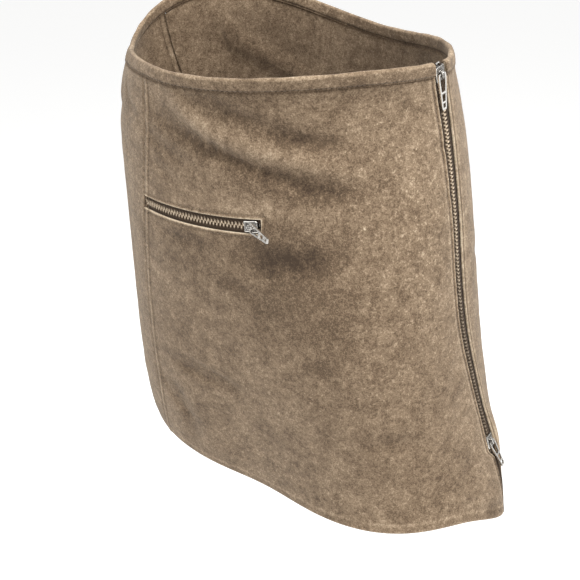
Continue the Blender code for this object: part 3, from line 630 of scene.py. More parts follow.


# %% [markdown]
# ## How the nap lies, and painted shade and light
#
# Suede is darker where its nap lies away from the light and paler where it was brushed the other
# way or rubbed. These patches are placed as soft ovals with a tone: below zero is darker. They
# are partly the nap and partly painted light: some dark ones, in hollows such as the one under the
# pocket zip, are painted shade, and the pale ones on the lit side near the long zip are painted
# light. Each fold is painted too, darker in its trough as painted shade and paler on its ridge as
# painted light.

# %% Patches of nap and painted light, and where the hide is pebbly
Patch = namedtuple("Patch", "angle drop wide tall tone")
NAP_AND_SHADE_PATCHES = [Patch(*row) for row in (
    (30, 0.48, 17, 0.08, -0.4), (-10, 0.42, 13, 0.06, -0.35), (27, 0.362, 12, 0.042, -1.15),
    (40, 0.35, 7, 0.03, -0.45), (10, 0.435, 6, 0.018, -0.55), (20, 0.45, 9, 0.035, -0.4),
    (46, 0.515, 6, 0.035, -0.23), (40, 0.6, 5, 0.022, -0.23), (46, 0.66, 5, 0.035, -0.17),
    (38, 0.765, 4, 0.025, -0.23), (31, 0.69, 6, 0.03, -0.15), (22, 0.555, 8, 0.022, -0.15),
    (-11, 0.69, 9, 0.025, -0.3), (4, 0.705, 7, 0.018, -0.28), (-5, 0.65, 8, 0.025, -0.17),
    (-14, 0.585, 5, 0.018, -0.15), (-6, 0.355, 8, 0.022, -0.5), (-29, 0.37, 4, 0.025, -0.4),
    (-32, 0.64, 5, 0.05, -0.25), (-27, 0.78, 5, 0.018, -0.23), (-28, 0.835, 3, 0.03, -0.2),
    (-13, 0.84, 6, 0.04, -0.15), (-34, 0.96, 6, 0.05, -0.3), (10, 0.045, 9, 0.025, -0.55),
    (30, 0.125, 10, 0.018, -0.35), (45, 0.048, 9, 0.018, -0.25), (68, 0.525, 5, 0.03, -0.15),
    (62, 0.61, 9, 0.02, -0.12), (-3, 0.165, 10, 0.035, -0.35), (-36, 0.11, 9, 0.02, -0.35),
    (16, 0.262, 13, 0.022, 0.45), (-27, 0.145, 6, 0.016, 0.35), (70, 0.12, 8, 0.06, 0.39),
    (74, 0.26, 10, 0.09, 0.33), (85, 0.43, 5, 0.08, 0.3), (93, 0.64, 5, 0.1, 0.33),
    (99, 0.85, 6, 0.1, 0.27), (58, 0.2, 9, 0.06, 0.25), (45, 0.38, 5, 0.03, 0.3),
    (-20, 0.46, 8, 0.02, 0.25), (25, 0.74, 10, 0.04, 0.11), (35, 0.88, 9, 0.05, 0.1),
    (75, 0.78, 14, 0.05, 0.15), (14, 0.96, 12, 0.018, 0.12), (90, 0.1, 9, 0.07, 0.33),
    (100, 0.33, 9, 0.11, 0.27), (112, 0.6, 9, 0.12, 0.24), (118, 0.2, 9, 0.05, -0.4),
    (135, 0.35, 14, 0.06, -0.45), (150, 0.62, 12, 0.05, -0.5), (172, 0.24, 16, 0.04, 0.35),
    (186, 0.46, 16, 0.035, -0.3), (200, 0.7, 10, 0.06, -0.4), (215, 0.33, 12, 0.07, 0.3),
    (168, 0.86, 14, 0.05, 0.3), (226, 0.88, 10, 0.05, -0.35), (-60, 0.3, 12, 0.08, 0.3),
    (-78, 0.52, 10, 0.06, -0.45), (-96, 0.7, 12, 0.07, -0.35), (-104, 0.2, 10, 0.05, -0.3),
    (-70, 0.86, 12, 0.05, 0.25), (18, 0.2, 10, 0.028, -0.42), (34, 0.23, 12, 0.03, -0.8),
    (33, 0.48, 10, 0.05, -0.15), (22, 0.3, 14, 0.022, -0.25), (104, 0.985, 4, 0.018, -0.8),
)]
PEBBLY = [Patch(*row) for row in (
    (58, 0.2, 22, 0.16, 1.0), (72, 0.4, 20, 0.12, 0.8), (60, 0.62, 20, 0.1, 0.5),
    (-34, 0.22, 9, 0.14, 0.7), (80, 0.9, 22, 0.1, 0.4), (20, 0.92, 20, 0.08, 0.35),
    (104, 0.35, 16, 0.3, 0.5), (150, 0.3, 30, 0.2, 0.6), (205, 0.6, 26, 0.22, 0.5),
    (-80, 0.4, 26, 0.25, 0.6),
)]
# How strongly the folds are painted: darker in each trough as painted shade, paler on each ridge as
# painted light.
FOLD_SHADE_TONE = 0.26


def patch_tone(angle, drop, patches):
    angle = wrapped(angle, BACK_FROM)
    total = np.zeros(angle.shape)
    for patch in patches:
        reach = ((angle - patch.angle) / patch.wide) ** 2 + ((drop - patch.drop) / patch.tall) ** 2
        total += patch.tone * np.exp(-reach)
    return total


# A place's nap tone, with the painted shade and painted light of the patches and the folds.
def nap_and_shade_here(angle, drop):
    return patch_tone(angle, drop, NAP_AND_SHADE_PATCHES) + FOLD_SHADE_TONE * folded(angle, drop, ROUGH)


# %% [markdown]
# ## The finish of suede
#
# Suede is the split side of a hide, brushed until its fibres stand up. Three things make it: a
# mottled tone, where the nap turns; a grain a millimetre or two wide, because the fibres clump;
# and a faint sheen at grazing angles. One node group makes the tone and the grain from the
# layers on the cloth and from noise in the object's own space, and each suede uses it with its
# own values. The sheen is the same everywhere, so it is set on the shader itself.

# %% A node group for brushed suede
Noise = namedtuple("Noise", "Scale Detail Roughness Distortion")
CLOUDS, MOTTLE = Noise(16.0, 4.0, 0.55, 0.3), Noise(78.0, 5.0, 0.62, 0.6)
CLUMPS, FIBRES = Noise(330.0, 4.0, 0.62, 0.6), Noise(900.0, 3.0, 0.7, 0.4)
CLOUD_TONE, MOTTLE_TONE, CLUMP_TONE, FIBRE_TONE, FIBRE_HIGH = 0.22, 0.66, 0.72, 1.15, 0.8
NAP_AND_SHADE_TONE, SPECK_TONE, WEAR_AND_SHADE_TONE, SPECKS_FROM, SPECKS_STEEP = 0.22, 0.35, 0.42, 0.56, 4.2
SUEDE_TONES = ((0.0, (0.050, 0.032, 0.020)), (0.30, (0.130, 0.088, 0.054)),
               (0.52, (0.236, 0.168, 0.108)), (0.75, (0.375, 0.284, 0.192)),
               (1.0, (0.62, 0.51, 0.37)))
SHEEN_TINT = (0.95, 0.86, 0.74, 1)


def noise(tree, values):
    place = add_node(tree, "ShaderNodeTexCoord").outputs["Object"]
    return add_node(tree, "ShaderNodeTexNoise", Vector=place, **values._asdict()).outputs["Fac"]


def arithmetic(tree, operation, *parts, clamp=False):
    """Works from the left through its parts, each a number or a node's output."""
    while len(parts) > 2:
        parts = (arithmetic(tree, operation, *parts[:2]), *parts[2:])
    made = tree.nodes.new("ShaderNodeMath")
    made.operation, made.use_clamp = operation, clamp
    for socket, part in zip(made.inputs, parts):
        feed(tree, socket, part)
    return made.outputs[0]


def plus(tree, *parts, clamp=False):
    return arithmetic(tree, "ADD", *parts, clamp=clamp)


def times(tree, *parts):
    return arithmetic(tree, "MULTIPLY", *parts)


def new_group(name, numbers, **outputs):
    """An empty node group, with numbers for its inputs and kinds of socket for its outputs."""
    group = bpy.data.node_groups.new(name, "ShaderNodeTree")
    for title, value in numbers.items():
        socket = group.interface.new_socket(title, in_out="INPUT", socket_type="NodeSocketFloat")
        socket.default_value = value
    for title, kind in outputs.items():
        group.interface.new_socket(title, in_out="OUTPUT", socket_type=kind)
    return group, group.nodes.new("NodeGroupInput").outputs, group.nodes.new("NodeGroupOutput")


def use_group(tree, group, **values):
    made = tree.nodes.new("ShaderNodeGroup")
    made.node_tree = group
    return fill(tree, made, **values).outputs


def suede_group():
    group, given, result = new_group(
        "brushed_suede",
        {"Nap": 0.0, "Pebble": 0.0, "Wear": 0.0, "Tone": 0.5, "Nap Share": 1.0,
         "Mottle Share": 1.0},
        Color="NodeSocketColor", Height="NodeSocketFloat")
    clouds, mottle, clumps, fibres = (noise(group, one) for one in (CLOUDS, MOTTLE, CLUMPS, FIBRES))

    def share(value, amount):
        return times(group, arithmetic(group, "SUBTRACT", value, 0.5), amount)

    uneven = plus(group, share(clouds, CLOUD_TONE), share(mottle, MOTTLE_TONE))
    specks = arithmetic(group, "SUBTRACT", clumps, SPECKS_FROM, clamp=True)
    # The nap and wear inputs also carry painted shade and painted light: darker troughs, grooves,
    # ditches and hollows, and paler ridges and lit patches.
    tone = plus(group, given["Tone"], times(group, given["Nap"], given["Nap Share"], NAP_AND_SHADE_TONE),
                times(group, uneven, given["Mottle Share"]),
                plus(group, share(clumps, CLUMP_TONE), share(fibres, FIBRE_TONE)),
                times(group, specks, SPECKS_STEEP, given["Pebble"], SPECK_TONE),
                times(group, given["Wear"], WEAR_AND_SHADE_TONE), clamp=True)
    fill(group, result, Color=ramp(group, tone, SUEDE_TONES),
         Height=plus(group, clumps, share(fibres, FIBRE_HIGH)))
    return group


SUEDE_GROUP = suede_group()


def layer_value(tree, name):
    made = tree.nodes.new("ShaderNodeAttribute")
    made.attribute_name = name
    return made.outputs["Fac"]


def bump(tree, height, strength, distance):
    return add_node(tree, "ShaderNodeBump", Strength=strength, Distance=distance,
                    Height=height).outputs["Normal"]


def suede_material(name, tone, nap_and_shade_share, mottle_share, sheen):
    """Suede with its own tone. The layers on the cloth drive how it is brushed, the specks and the
    worn edges, and with them the painted shade and painted light of folds, grooves and patches.
    """
    made, tree, shader = new_material(
        name, Roughness=0.93, Sheen_Weight=sheen, Sheen_Roughness=0.45, Sheen_Tint=SHEEN_TINT,
        Specular_IOR_Level=0.18)
    nap_and_shade, pebble, wear = (layer_value(tree, layer) for layer in (NAP_AND_SHADE, PEBBLE, WEAR_AND_SHADE))
    finish = use_group(tree, SUEDE_GROUP, Nap=nap_and_shade, Pebble=pebble, Wear=wear, Tone=tone,
                       Nap_Share=nap_and_shade_share, Mottle_Share=mottle_share)
    fill(tree, shader, Base_Color=finish["Color"],
         Normal=bump(tree, finish["Height"], 0.55, 0.0009))
    return made


suede = suede_material("brushed_suede", 0.43, 1.0, 1.0, 0.25)
binding_suede = suede_material("binding_suede", 0.415, 0.5, 0.8, 0.2)
print("suede finishes made")

# %% [markdown]
# ## The three panels
#
# The front panel runs from the seam at the wearer's right to the long zip, with a slit cut in it
# for the pocket. The side and back panels close the tube. Rows and columns are closest where the
# cloth turns under, because a roll two millimetres wide needs a vertex each half millimetre or
# so, and sparser over the plain cloth, which keeps each panel well under its limit.

# %% Cut, lay and finish the panels
POCKET_TOP = POCKET_DROP - POCKET_OPENING / 2 / SKIRT_DROP
POCKET_LOW = POCKET_DROP + POCKET_OPENING / 2 / SKIRT_DROP
HEM_FOLD = 1 - HEM_TURN / SKIRT_DROP
SEAM_ROWS = (1.8, 7.6)  # topstitch rows beside a seam, in mm
FAR_OFF = 99.0  # mm, out of reach of every edge
POCKET_NEAR = 0.018
PANEL_ROWS = spaced(0.0, (0.018, 3), (0.034, 7), (POCKET_TOP - POCKET_NEAR, 50), (POCKET_TOP, 8),
                    (POCKET_LOW, 7), (POCKET_LOW + POCKET_NEAR, 8), (SLIT_FROM, 94),
                    (SLIT_CLOSED, 10), (0.94, 12), (0.992, 9), (1.0, 4))
CUT_COLUMNS, CUT_ROWS = 81, range(68, 75)  # what the pocket zip's opening takes from the grid

# How high, or how worn and how shaded, the cloth is by a distance: rows of size, distance and
# width, in mm. In the tone rows a pale row on a folded edge is wear, a pale row on a ridge is
# painted light, and a row below zero is painted shade in the grooves and ditches.
BINDING_RIDGES = ((0.25, 3.2, 2.0), (-0.35, 0.0, 1.4))
HEM_RIDGES = ((0.18, HEM_TURN, 3.0), (-0.3, 0.0, 1.2))
SEAM_GROOVES = [(-0.42, row, 0.75) for row in SEAM_ROWS]
ZIP_GROOVE_SHADE_AND_RIDGE_LIGHT = ((0.4, 5.4, 1.3), (-0.75, GROOVE_AT, 0.7))
HEM_WEAR = ((0.45, 0.0, 1.3), (0.35, 7.5, 1.2))
SEAM_WEAR_AND_SHADING = ((0.35, 0.6, 0.6), (0.3, 4.6, 1.6), (-0.7, 0.0, 0.5),
             *((-0.5, row, 0.7) for row in SEAM_ROWS))


def bells(distance, rows):
    return sum(size * bell(distance - at, wide) for size, at, wide in rows)


def seam_edge(line, side, whole_turn=0.0):
    return lambda drop: beside(through(line, drop), drop, side * SEAM_GAP / 2) + whole_turn


def zip_edge(side):
    return lambda drop: beside(zip_line(drop), drop, opening_edge(side, drop))


def panel_height(angle, drop):
    """All the small heights of the cloth, from its edges and from the hide."""
    down = drop * SKIRT_DROP
    to_zip, to_hem = from_opening(angle, drop), SKIRT_DROP - down
    height = hide_waves(angle, drop) * np.clip(np.minimum(to_zip, to_hem) / 8, 0, 1)
    height = height + stitched_edge(to_zip) + puckers(np.maximum(to_zip, 0), down)
    for line in (FRONT_SEAM, BACK_SEAM):
        seam = lateral(through(line, drop), angle, drop)
        over = np.where(seam > 0, seam, FAR_OFF)
        height += 0.45 * np.clip((9.5 - over) / 2.0, 0, 1) * np.clip(over / 0.8 + 0.2, 0, 1)
        height += bells(over, SEAM_GROOVES) + puckers(np.abs(seam), down) * 1.3
        height -= 0.35 * bell(np.where(seam < 0, seam, FAR_OFF), 1.2)
    return height + bells(down - BINDING_DEEP, BINDING_RIDGES) + bells(to_hem, HEM_RIDGES)


def panel_wear_and_shade(angle, drop):
    """1 on a worn folded edge, fading inwards, with painted shade in grooves, ditches, under the
    binding and behind the slit, and painted light on ridges.
    """
    to_zip, to_hem = from_opening(angle, drop), (1 - drop) * SKIRT_DROP
    # The zip's folded edge is paler from wear; its stitch groove is darker as painted shade, and
    # the ridge past the groove paler as painted light.
    wear = 0.9 * bell(np.maximum(to_zip, 0), 1.2) + bells(to_zip, ZIP_GROOVE_SHADE_AND_RIDGE_LIGHT)
    wear += bells(to_hem, HEM_WEAR)
    behind = (angle > zip_line(drop)) & (angle < 180)
    # Behind the slit the back panel's edge is darker: painted shade.
    wear -= np.where(behind, 2.6, 0.0) * in_slit(drop) * bell(to_zip, 1.6)
    # A darker line just under the binding: painted shade.
    wear -= 0.6 * bell(drop * SKIRT_DROP - BINDING_DEEP - 0.6, 0.9)
    # The seams: a paler worn fold edge, painted light on the ridge between the stitch rows, and
    # painted shade in the ditch and the stitch grooves.
    return wear + sum(bells(lateral(through(line, drop), angle, drop), SEAM_WEAR_AND_SHADING)
                      for line in (FRONT_SEAM, BACK_SEAM))


def panel_inside(drop, height):
    return drop, height * 0.5 - np.where(drop > HEM_FOLD, HEM_TURN_WALL, CLOTH)


def sew_panel(name, start, end, shares, slope=0.0, cut_columns=0):
    """One panel between its two edges, with its wall, its folds and its layers."""
    shape, column, row = flat_grid(len(shares) - 1, len(PANEL_ROWS) - 1)
    share, base = shares[column], PANEL_ROWS[row]
    slope_here = slope * np.interp(base, (0, 0.2, 0.4, 0.9), (0, 1, 1, 0))
    drop = base
    for _ in range(3):
        angle = start(drop) * (1 - share) + end(drop) * share
        drop = base + slope_here * angle
    to_pocket = pocket_distance(angle, drop) if cut_columns else np.full(angle.shape, FAR_OFF)
    # The pocket's folded edge is paler from wear, and its stitch groove darker as painted shade.
    wear = panel_wear_and_shade(angle, drop) + 1.5 * bell(np.maximum(to_pocket, 0), 0.9)
    write_layers(shape, {
        ANGLE: angle, DROP: drop, WEAR_AND_SHADE: wear - 0.4 * bell(to_pocket - GROOVE_AT, 0.7),
        NAP_AND_SHADE: nap_and_shade_here(angle, drop), PEBBLE: patch_tone(angle, drop, PEBBLY),
        HEIGHT: panel_height(angle, drop) + stitched_edge(to_pocket) * 0.9})
    across, down = (shape.verts.layers.float[layer] for layer in ("column", "row"))
    cut = [face for face in shape.faces if max(v[across] for v in face.verts) <= cut_columns
           and min(v[down] for v in face.verts) in CUT_ROWS]
    bmesh.ops.delete(shape, geom=cut, context="FACES")
    lay_wall(shape, panel_inside)
    round_rim(shape, PANEL_RIM)
    finish_piece(shape, name + "_cloth", suede, [name])


def pocket_share():
    """How far across the front panel the pocket's opening ends."""
    here = np.array(pocket_drop(POCKET_END))
    start, end = seam_edge(FRONT_SEAM, 1)(here), zip_edge(-1)(here)
    return float((POCKET_END - start) / (end - start))


SLIT = pocket_share()
sew_panel("front_panel", seam_edge(FRONT_SEAM, 1), zip_edge(-1),
          spaced(0.0, (0.034, 14), (SLIT - 0.012, 62), (SLIT, 5), (SLIT + 0.016, 6), (0.968, 88),
                 (1.0, 14)), POCKET_SLOPE, CUT_COLUMNS)
sew_panel("side_panel", seam_edge(BACK_SEAM, 1), seam_edge(FRONT_SEAM, -1),
          spaced(0.0, (0.05, 12), (0.985, 88), (1.0, 4)))
sew_panel("back_panel", zip_edge(1), seam_edge(BACK_SEAM, -1, 360.0),
          spaced(0.0, (0.034, 16), (0.99, 168), (1.0, 3)))

# %% [markdown]
# ## The binding
#
# The waist is bound: a narrow strip of the same suede is folded over the cut edge and stitched
# through in the ditch under it. It is puffy between the fold and the stitches. One grid makes
# it, wrapped round the edge from the outside, over the top and down the inside.

# %% Fold the binding over the waist edge
BINDING_OUT, BINDING_IN = LAY + BINDING_WALL, -(CLOTH + LAY + BINDING_WALL)
DITCH, DITCH_DEEP, PUFF = 1.1, 0.55, 0.55
ROUND_AT = 1.9  # the fold's round top, in mm
STEPS_DOWN, STEPS_OVER, STATIONS_ROUND = 16, 10, 430


def binding_path():
    """Height and rise of the binding's skin, from outside bottom over the top to the inside."""
    half, middle = (BINDING_OUT - BINDING_IN) / 2, (BINDING_OUT + BINDING_IN) / 2
    shoulder = BINDING_OUT - ROUND_AT
    rise = np.linspace(-BINDING_DEEP, shoulder, STEPS_DOWN)
    puff = PUFF * np.sin(np.pi * np.clip((rise + BINDING_DEEP) / (shoulder + BINDING_DEEP), 0, 1))
    puff -= DITCH_DEEP * bell(rise + BINDING_DEEP - DITCH, 0.6)
    turn = np.linspace(0, np.pi, STEPS_OVER + 2)[1:-1]
    over = middle + half * np.cos(turn)
    return (np.concatenate([BINDING_OUT + puff, over, BINDING_IN - puff[::-1]]),
            np.concatenate([rise, shoulder + ROUND_AT * np.sin(turn), rise[::-1]]))


def round_waist(share, drop):
    """Angles of the whole round, from behind the zip, past the back, to its front."""
    return zip_edge(1)(drop) * (1 - share) + (zip_edge(-1)(drop) + 360.0) * share


def binding_inside(drop, height, outside):
    return np.maximum(drop, -LAY / SKIRT_DROP), np.where(outside > 0, LAY, -(CLOTH + LAY))


def bind_waist():
    """The folded strip, with small waves along it."""
    heights, rises = binding_path()
    shape, column, row = flat_grid(STATIONS_ROUND - 1, len(heights) - 1)
    share, path = np.linspace(0, 1, STATIONS_ROUND)[column], len(heights) - 1 - row
    height, drop, along = heights[path], -rises[path] / SKIRT_DROP, share * WAIST_ROUND
    angle, outside = round_waist(share, drop), np.sign(height + CLOTH / 2)
    wave = 0.22 * np.sin(along / 4.6 + 1.2 * np.sin(along / 23.0))
    wave += 0.16 * np.sin(along / 9.1 + 2.0)
    puffed = np.clip((BINDING_DEEP - DITCH - drop * SKIRT_DROP) / 3.0, 0, 1)
    height = height + outside * wave * puffed
    lift = 0.25 * np.sin(along / 31.0) * np.clip(1 - drop * SKIRT_DROP / 4, 0, 1)
    drop = drop - lift / SKIRT_DROP
    # The fold over the top is paler, partly wear and partly painted light; the ditch under the puff
    # is darker as painted shade.
    worn_top_and_ditch_shade = 0.4 * bell(drop * SKIRT_DROP + 0.9, 1.1) * (0.7 + 0.3 * np.sin(along / 13.0))
    worn_top_and_ditch_shade -= 0.9 * bell(drop * SKIRT_DROP - BINDING_DEEP + DITCH, 0.75)
    write_layers(shape, {
        ANGLE: angle, DROP: drop, HEIGHT: height, "outside": outside, WEAR_AND_SHADE: worn_top_and_ditch_shade,
        NAP_AND_SHADE: 0.5 * patch_tone(angle, drop, NAP_AND_SHADE_PATCHES) + 0.25 * np.sin(along / 19.0),
        PEBBLE: np.full(angle.shape, 0.5)})
    lay_wall(shape, binding_inside, (ANGLE, DROP, HEIGHT, "outside"))
    bmesh.ops.recalc_face_normals(shape, faces=shape.faces)
    round_rim(shape, BINDING_RIM)
    finish_piece(shape, "waist_binding_strip", binding_suede, ["waist_binding"])


bind_waist()

# %% [markdown]
# ## Strips, and the seams' allowances
#
# The zip tapes, the pocket bag and the seam allowances are all flat strips laid on the form. One
# helper lays them: it asks a place function where the grid's columns and rows come to, and it
# keeps the distances across and along as layers, so a weave can follow the strip.

# %% A helper for strips, and the inside of the two seams
ACROSS, ALONG = "across", "along"
ALLOWANCE_WALL, ALLOWANCE_LEVEL = 1.3, -(CLOTH + 0.15)


def lay_strip(name, place, columns, rows, height, thick, material, slot, stands_for=(),
              rim=TAPE_RIM):
    """A strip with a wall. place(column, row) gives angle, drop, across and along."""
    shape, column, row = flat_grid(len(columns) - 1, len(rows) - 1)
    angle, drop, across, along = place(columns[column], rows[row])
    write_layers(shape, {ANGLE: angle, DROP: drop, ACROSS: across, ALONG: along,
                         HEIGHT: height(across, along)})
    lay_wall(shape, lambda drop, outer: (drop, outer - thick))
    round_rim(shape, rim)
    finish_piece(shape, name, material, stands_for)


def beside_line(line, low, high):
    """A place function for a strip between two distances from a line down the skirt."""
    def place(share, drop):
        across = low + (high - low) * share
        return beside(through(line, drop), drop, across), drop, across, drop * SKIRT_DROP
    return place


allowance_rows = np.linspace(BINDING_DEEP / SKIRT_DROP + 0.004, HEM_FOLD - 0.004, 150)
for name, line in (("front_seam_allowance", FRONT_SEAM), ("back_seam_allowance", BACK_SEAM)):
    lay_strip(name, beside_line(line, -9.0, 1.4), np.linspace(0, 1, 7), allowance_rows,
              lambda across, along: ALLOWANCE_LEVEL + 0.0 * across, ALLOWANCE_WALL, suede, "suede",
              rim=ALLOWANCE_RIM)

# %% [markdown]
# ## Woven zip tape and cotton
#
# A zip tape is a dense woven band with a fine rib along it. Its pattern reads the two distances
# that lie on the strip, so it follows the tape round the body. The pocket bag is plain cotton,
# with the same pattern in a coarser size.

# %% A node group for weave, and the two cloths
WHOLE_TURN = 6.2832


def weave_group():
    group, given, result = new_group(
        "plain_weave", {"Thread Width": 0.5, "Rib Width": 1.4, "Fuzz": 0.5},
        Height="NodeSocketFloat", Shade="NodeSocketFloat")
    across, along = layer_value(group, ACROSS), layer_value(group, ALONG)

    def wave(value, width):
        turns = arithmetic(group, "DIVIDE", value, given[width])
        return arithmetic(group, "SINE", times(group, turns, WHOLE_TURN))

    woven = times(group, wave(across, "Thread Width"), wave(along, "Thread Width"), 0.5)
    height = plus(group, woven, wave(across, "Rib Width"))
    fuzz = times(group, noise(group, FIBRES), given["Fuzz"])
    fill(group, result, Height=plus(group, height, fuzz),
         Shade=plus(group, times(group, height, 0.16), fuzz, 0.2, clamp=True))
    return group


WEAVE_GROUP = weave_group()


def woven_material(name, dark, light, thread, rib, sheen):
    made, tree, shader = new_material(name, Roughness=0.88, Sheen_Weight=sheen,
                                      Specular_IOR_Level=0.25)
    woven = use_group(tree, WEAVE_GROUP, Thread_Width=thread, Rib_Width=rib)
    fill(tree, shader, Base_Color=ramp(tree, woven["Shade"], ((0.1, dark), (0.9, light))),
         Normal=bump(tree, woven["Height"], 0.5, 0.0003))
    return made


# The tape's dark brown is partly its own colour and partly painted shade, for the shadow between
# and beside the teeth.
shaded_tape_cloth = woven_material("zip_tape_weave", (0.020, 0.012, 0.007), (0.086, 0.056, 0.034),
                            0.6, 1.8, 0.05)
bag_cotton = woven_material("pocket_cotton", (0.085, 0.066, 0.050), (0.20, 0.16, 0.125),
                            0.9, 2.7, 0.1)

# %% Lay the tapes of both zips
TAPE_TOP = TAPE_MIDDLE + TAPE_WALL / 2
TAPE_NEAR = 1.9  # where the tape goes inside the teeth
BINDING_ROW = (BINDING_DEEP + LAY) / SKIRT_DROP
SEAM_CLEAR = 1.0


def main_tape(side):
    def place(share, drop):
        far = np.where(drop > BINDING_ROW, TAPE_DEEP, ZIP_OPENING / 2 - LAY)
        across = side * (TAPE_NEAR + (far - TAPE_NEAR) * (share if side > 0 else 1 - share))
        return beside(zip_line(drop), drop, across), drop, across, drop * SKIRT_DROP
    return place


def beside_pocket(low, high):
    """A place function for a strip round the body, between two distances from the pocket zip."""
    def place(angle, share):
        across = low + (high - low) * share
        return angle, pocket_drop(angle, across), across, angle * MM_PER_DEGREE
    return place


def cord_ridge(across, along):
    """The tape swells round the cord that the teeth are clamped on, but not under the slit."""
    swells = np.where(along < SLIT_FROM * SKIRT_DROP, 0.35, 0.0)
    return TAPE_TOP + swells * bell(np.abs(across) - TAPE_NEAR - 1.6, 0.8)


main_rows = spaced(0.002, (BINDING_ROW, 9), (BINDING_ROW + 0.002, 1), (HEM_FOLD - 0.005, 239))
pocket_columns = np.linspace(POCKET_START + SEAM_CLEAR, POCKET_END + 5.0, 90)
across_tape = np.linspace(0, 1, 13)
for name, place, *grid, node in (
        ("main_tape_front", main_tape(-1), across_tape, main_rows, "main_zip_tape_front"),
        ("main_tape_back", main_tape(1), across_tape, main_rows, "main_zip_tape_back"),
        ("pocket_zip_tape_upper", beside_pocket(-TAPE_DEEP, -TAPE_NEAR), pocket_columns,
         across_tape, "pocket_tape_upper"),
        ("pocket_zip_tape_lower", beside_pocket(TAPE_NEAR, TAPE_DEEP), pocket_columns,
         across_tape, "pocket_tape_lower")):
    lay_strip(name, place, *grid, cord_ridge, TAPE_WALL, shaded_tape_cloth, "zip_tape", [node])

# %% Hang the pocket bag behind its zip
ON_TAPE = TAPE_MIDDLE - TAPE_WALL / 2 - LAY
SLIDER_DEEP, BAG_CLEAR, BAG_WALL = 1.6, 1.1, 2.0
BEHIND_SLIDER = TAPE_MIDDLE - SLIDER_DEEP - BAG_CLEAR - 2 * LAY


def bag_level(across, along):
    """The bag's height: clear of the slider near the zip, then loose against the cloth."""
    near_zip = 1 - np.clip((np.abs(across) - 5.0) / 1.8, 0, 1)
    sag = 0.8 * np.sin(np.clip((across - 25.0) / 110.0, 0, 1) * np.pi)
    ripple = 0.35 * np.sin(along / 9.0 + 0.04 * across) * np.clip((across - 18.0) / 20.0, 0, 1)
    return ON_TAPE + (BEHIND_SLIDER - ON_TAPE) * near_zip - sag * 0.3 - np.abs(ripple)


bag_columns = np.linspace(POCKET_START + 1.5, POCKET_START + np.degrees(BAG_WIDE / FLAT_RADIUS), 80)
lay_strip("pocket_bag_cloth", beside_pocket(-TAPE_DEEP, BAG_DEEP), bag_columns,
          np.linspace(0, 1, 80), bag_level, BAG_WALL, bag_cotton, "pocket_cotton", ["pocket_bag"],
          BAG_RIM)

# %% [markdown]
# ## Antique metal
#
# The teeth and sliders are plated and then rubbed: bright on their faces, brown-black where the
# polish couldn't reach. The polish layer also paints light: the teeth's heads and the cast rims
# are paler, partly from rubbing and partly as painted highlight, the teeth's clamps are darker,
# partly tarnish and partly painted shade, and the teeth under the top pull are darker as painted
# shade. A noise as fine as the teeth gives the tarnish, and a slight bump keeps the highlights
# from being perfect.

# %% The metal of teeth, sliders and pulls
POLISH_AND_SHADING = "polish"
TARNISH, SCRATCH = Noise(420.0, 3.0, 0.6, 0.3), Noise(1500.0, 2.0, 0.5, 0.2)


def metal_material(name, dark, light, rough_dark, rough_light, tarnish_from):
    made, tree, shader = new_material(name, Metallic=1.0)
    # The polish layer carries the rubbing and also painted highlight and painted shade.
    rubbed = plus(tree, times(tree, noise(tree, TARNISH), 0.5),
                  times(tree, layer_value(tree, POLISH_AND_SHADING), 0.6))
    fill(tree, shader, Base_Color=ramp(tree, rubbed, ((tarnish_from, dark), (0.80, light))),
         Roughness=ramp(tree, rubbed, ((0.2, (rough_dark,) * 3), (0.8, (rough_light,) * 3))),
         Normal=bump(tree, noise(tree, SCRATCH), 0.25, 0.00015))
    return made


tooth_metal = metal_material("antique_teeth", (0.075, 0.050, 0.032), (0.70, 0.58, 0.44),
                             0.62, 0.45, 0.22)
slider_metal = metal_material("antique_slider", (0.06, 0.052, 0.045), (0.90, 0.87, 0.82),
                              0.50, 0.26, 0.36)

# %% [markdown]
# ## Teeth
#
# Each tooth is a little bar clamped on the tape, with a narrow head that meets the other side's
# heads along the middle. One tooth is modelled once. Copies of it are set along both tapes, half
# a step apart, which gives the zigzag of a closed chain.

# %% Model one tooth, and set it along the zips
TOOTH_STEP = 3.1
ToothColumn = namedtuple("ToothColumn", "out half_wide half_thick polish")
# The polish column makes the head paler and the clamp darker: partly the rubbed plating, with
# painted highlight on the head and painted shade on the clamp.
TOOTH = [ToothColumn(*row) for row in (
    (-0.55, 0.42, 0.90, 0.5), (0.35, 0.60, 1.35, 1.0), (1.9, 0.60, 1.30, 0.9),
    (2.5, 0.60, 1.00, 0.25), (3.5, 0.75, 0.95, 0.05),
)]
TOOTH_BEVEL, TOOTH_LEAN, TOOTH_RISE = 0.18, 16.0, 0.2  # mm, degrees up from square, mm
OPEN_LEVEL = -0.75  # how the open teeth sink, in mm
# Under the hanging top pull the teeth are darkened, as painted shade.
UNDER_PULL, UNDER_PULL_SHADE = 0.098, 0.05  # the drop that the hanging top pull reaches
CLEAR_OF_SLIDER, CLEAR_BELOW = 3.0, 7.5  # mm between the teeth and a slider's middle
CORE_CORNERS = ((-2.4, -0.45), (2.4, -0.45), (2.4, 0.15), (-2.4, 0.15))  # mm across and outwards
CORE_PAST = 5.0  # mm that the core runs on inside a slider
HALF_TURN = Matrix.Rotation(np.pi, 4, "Z")
DROP_STEP, ANGLE_STEP = 0.004, 1.0  # how far to look along a line for its direction


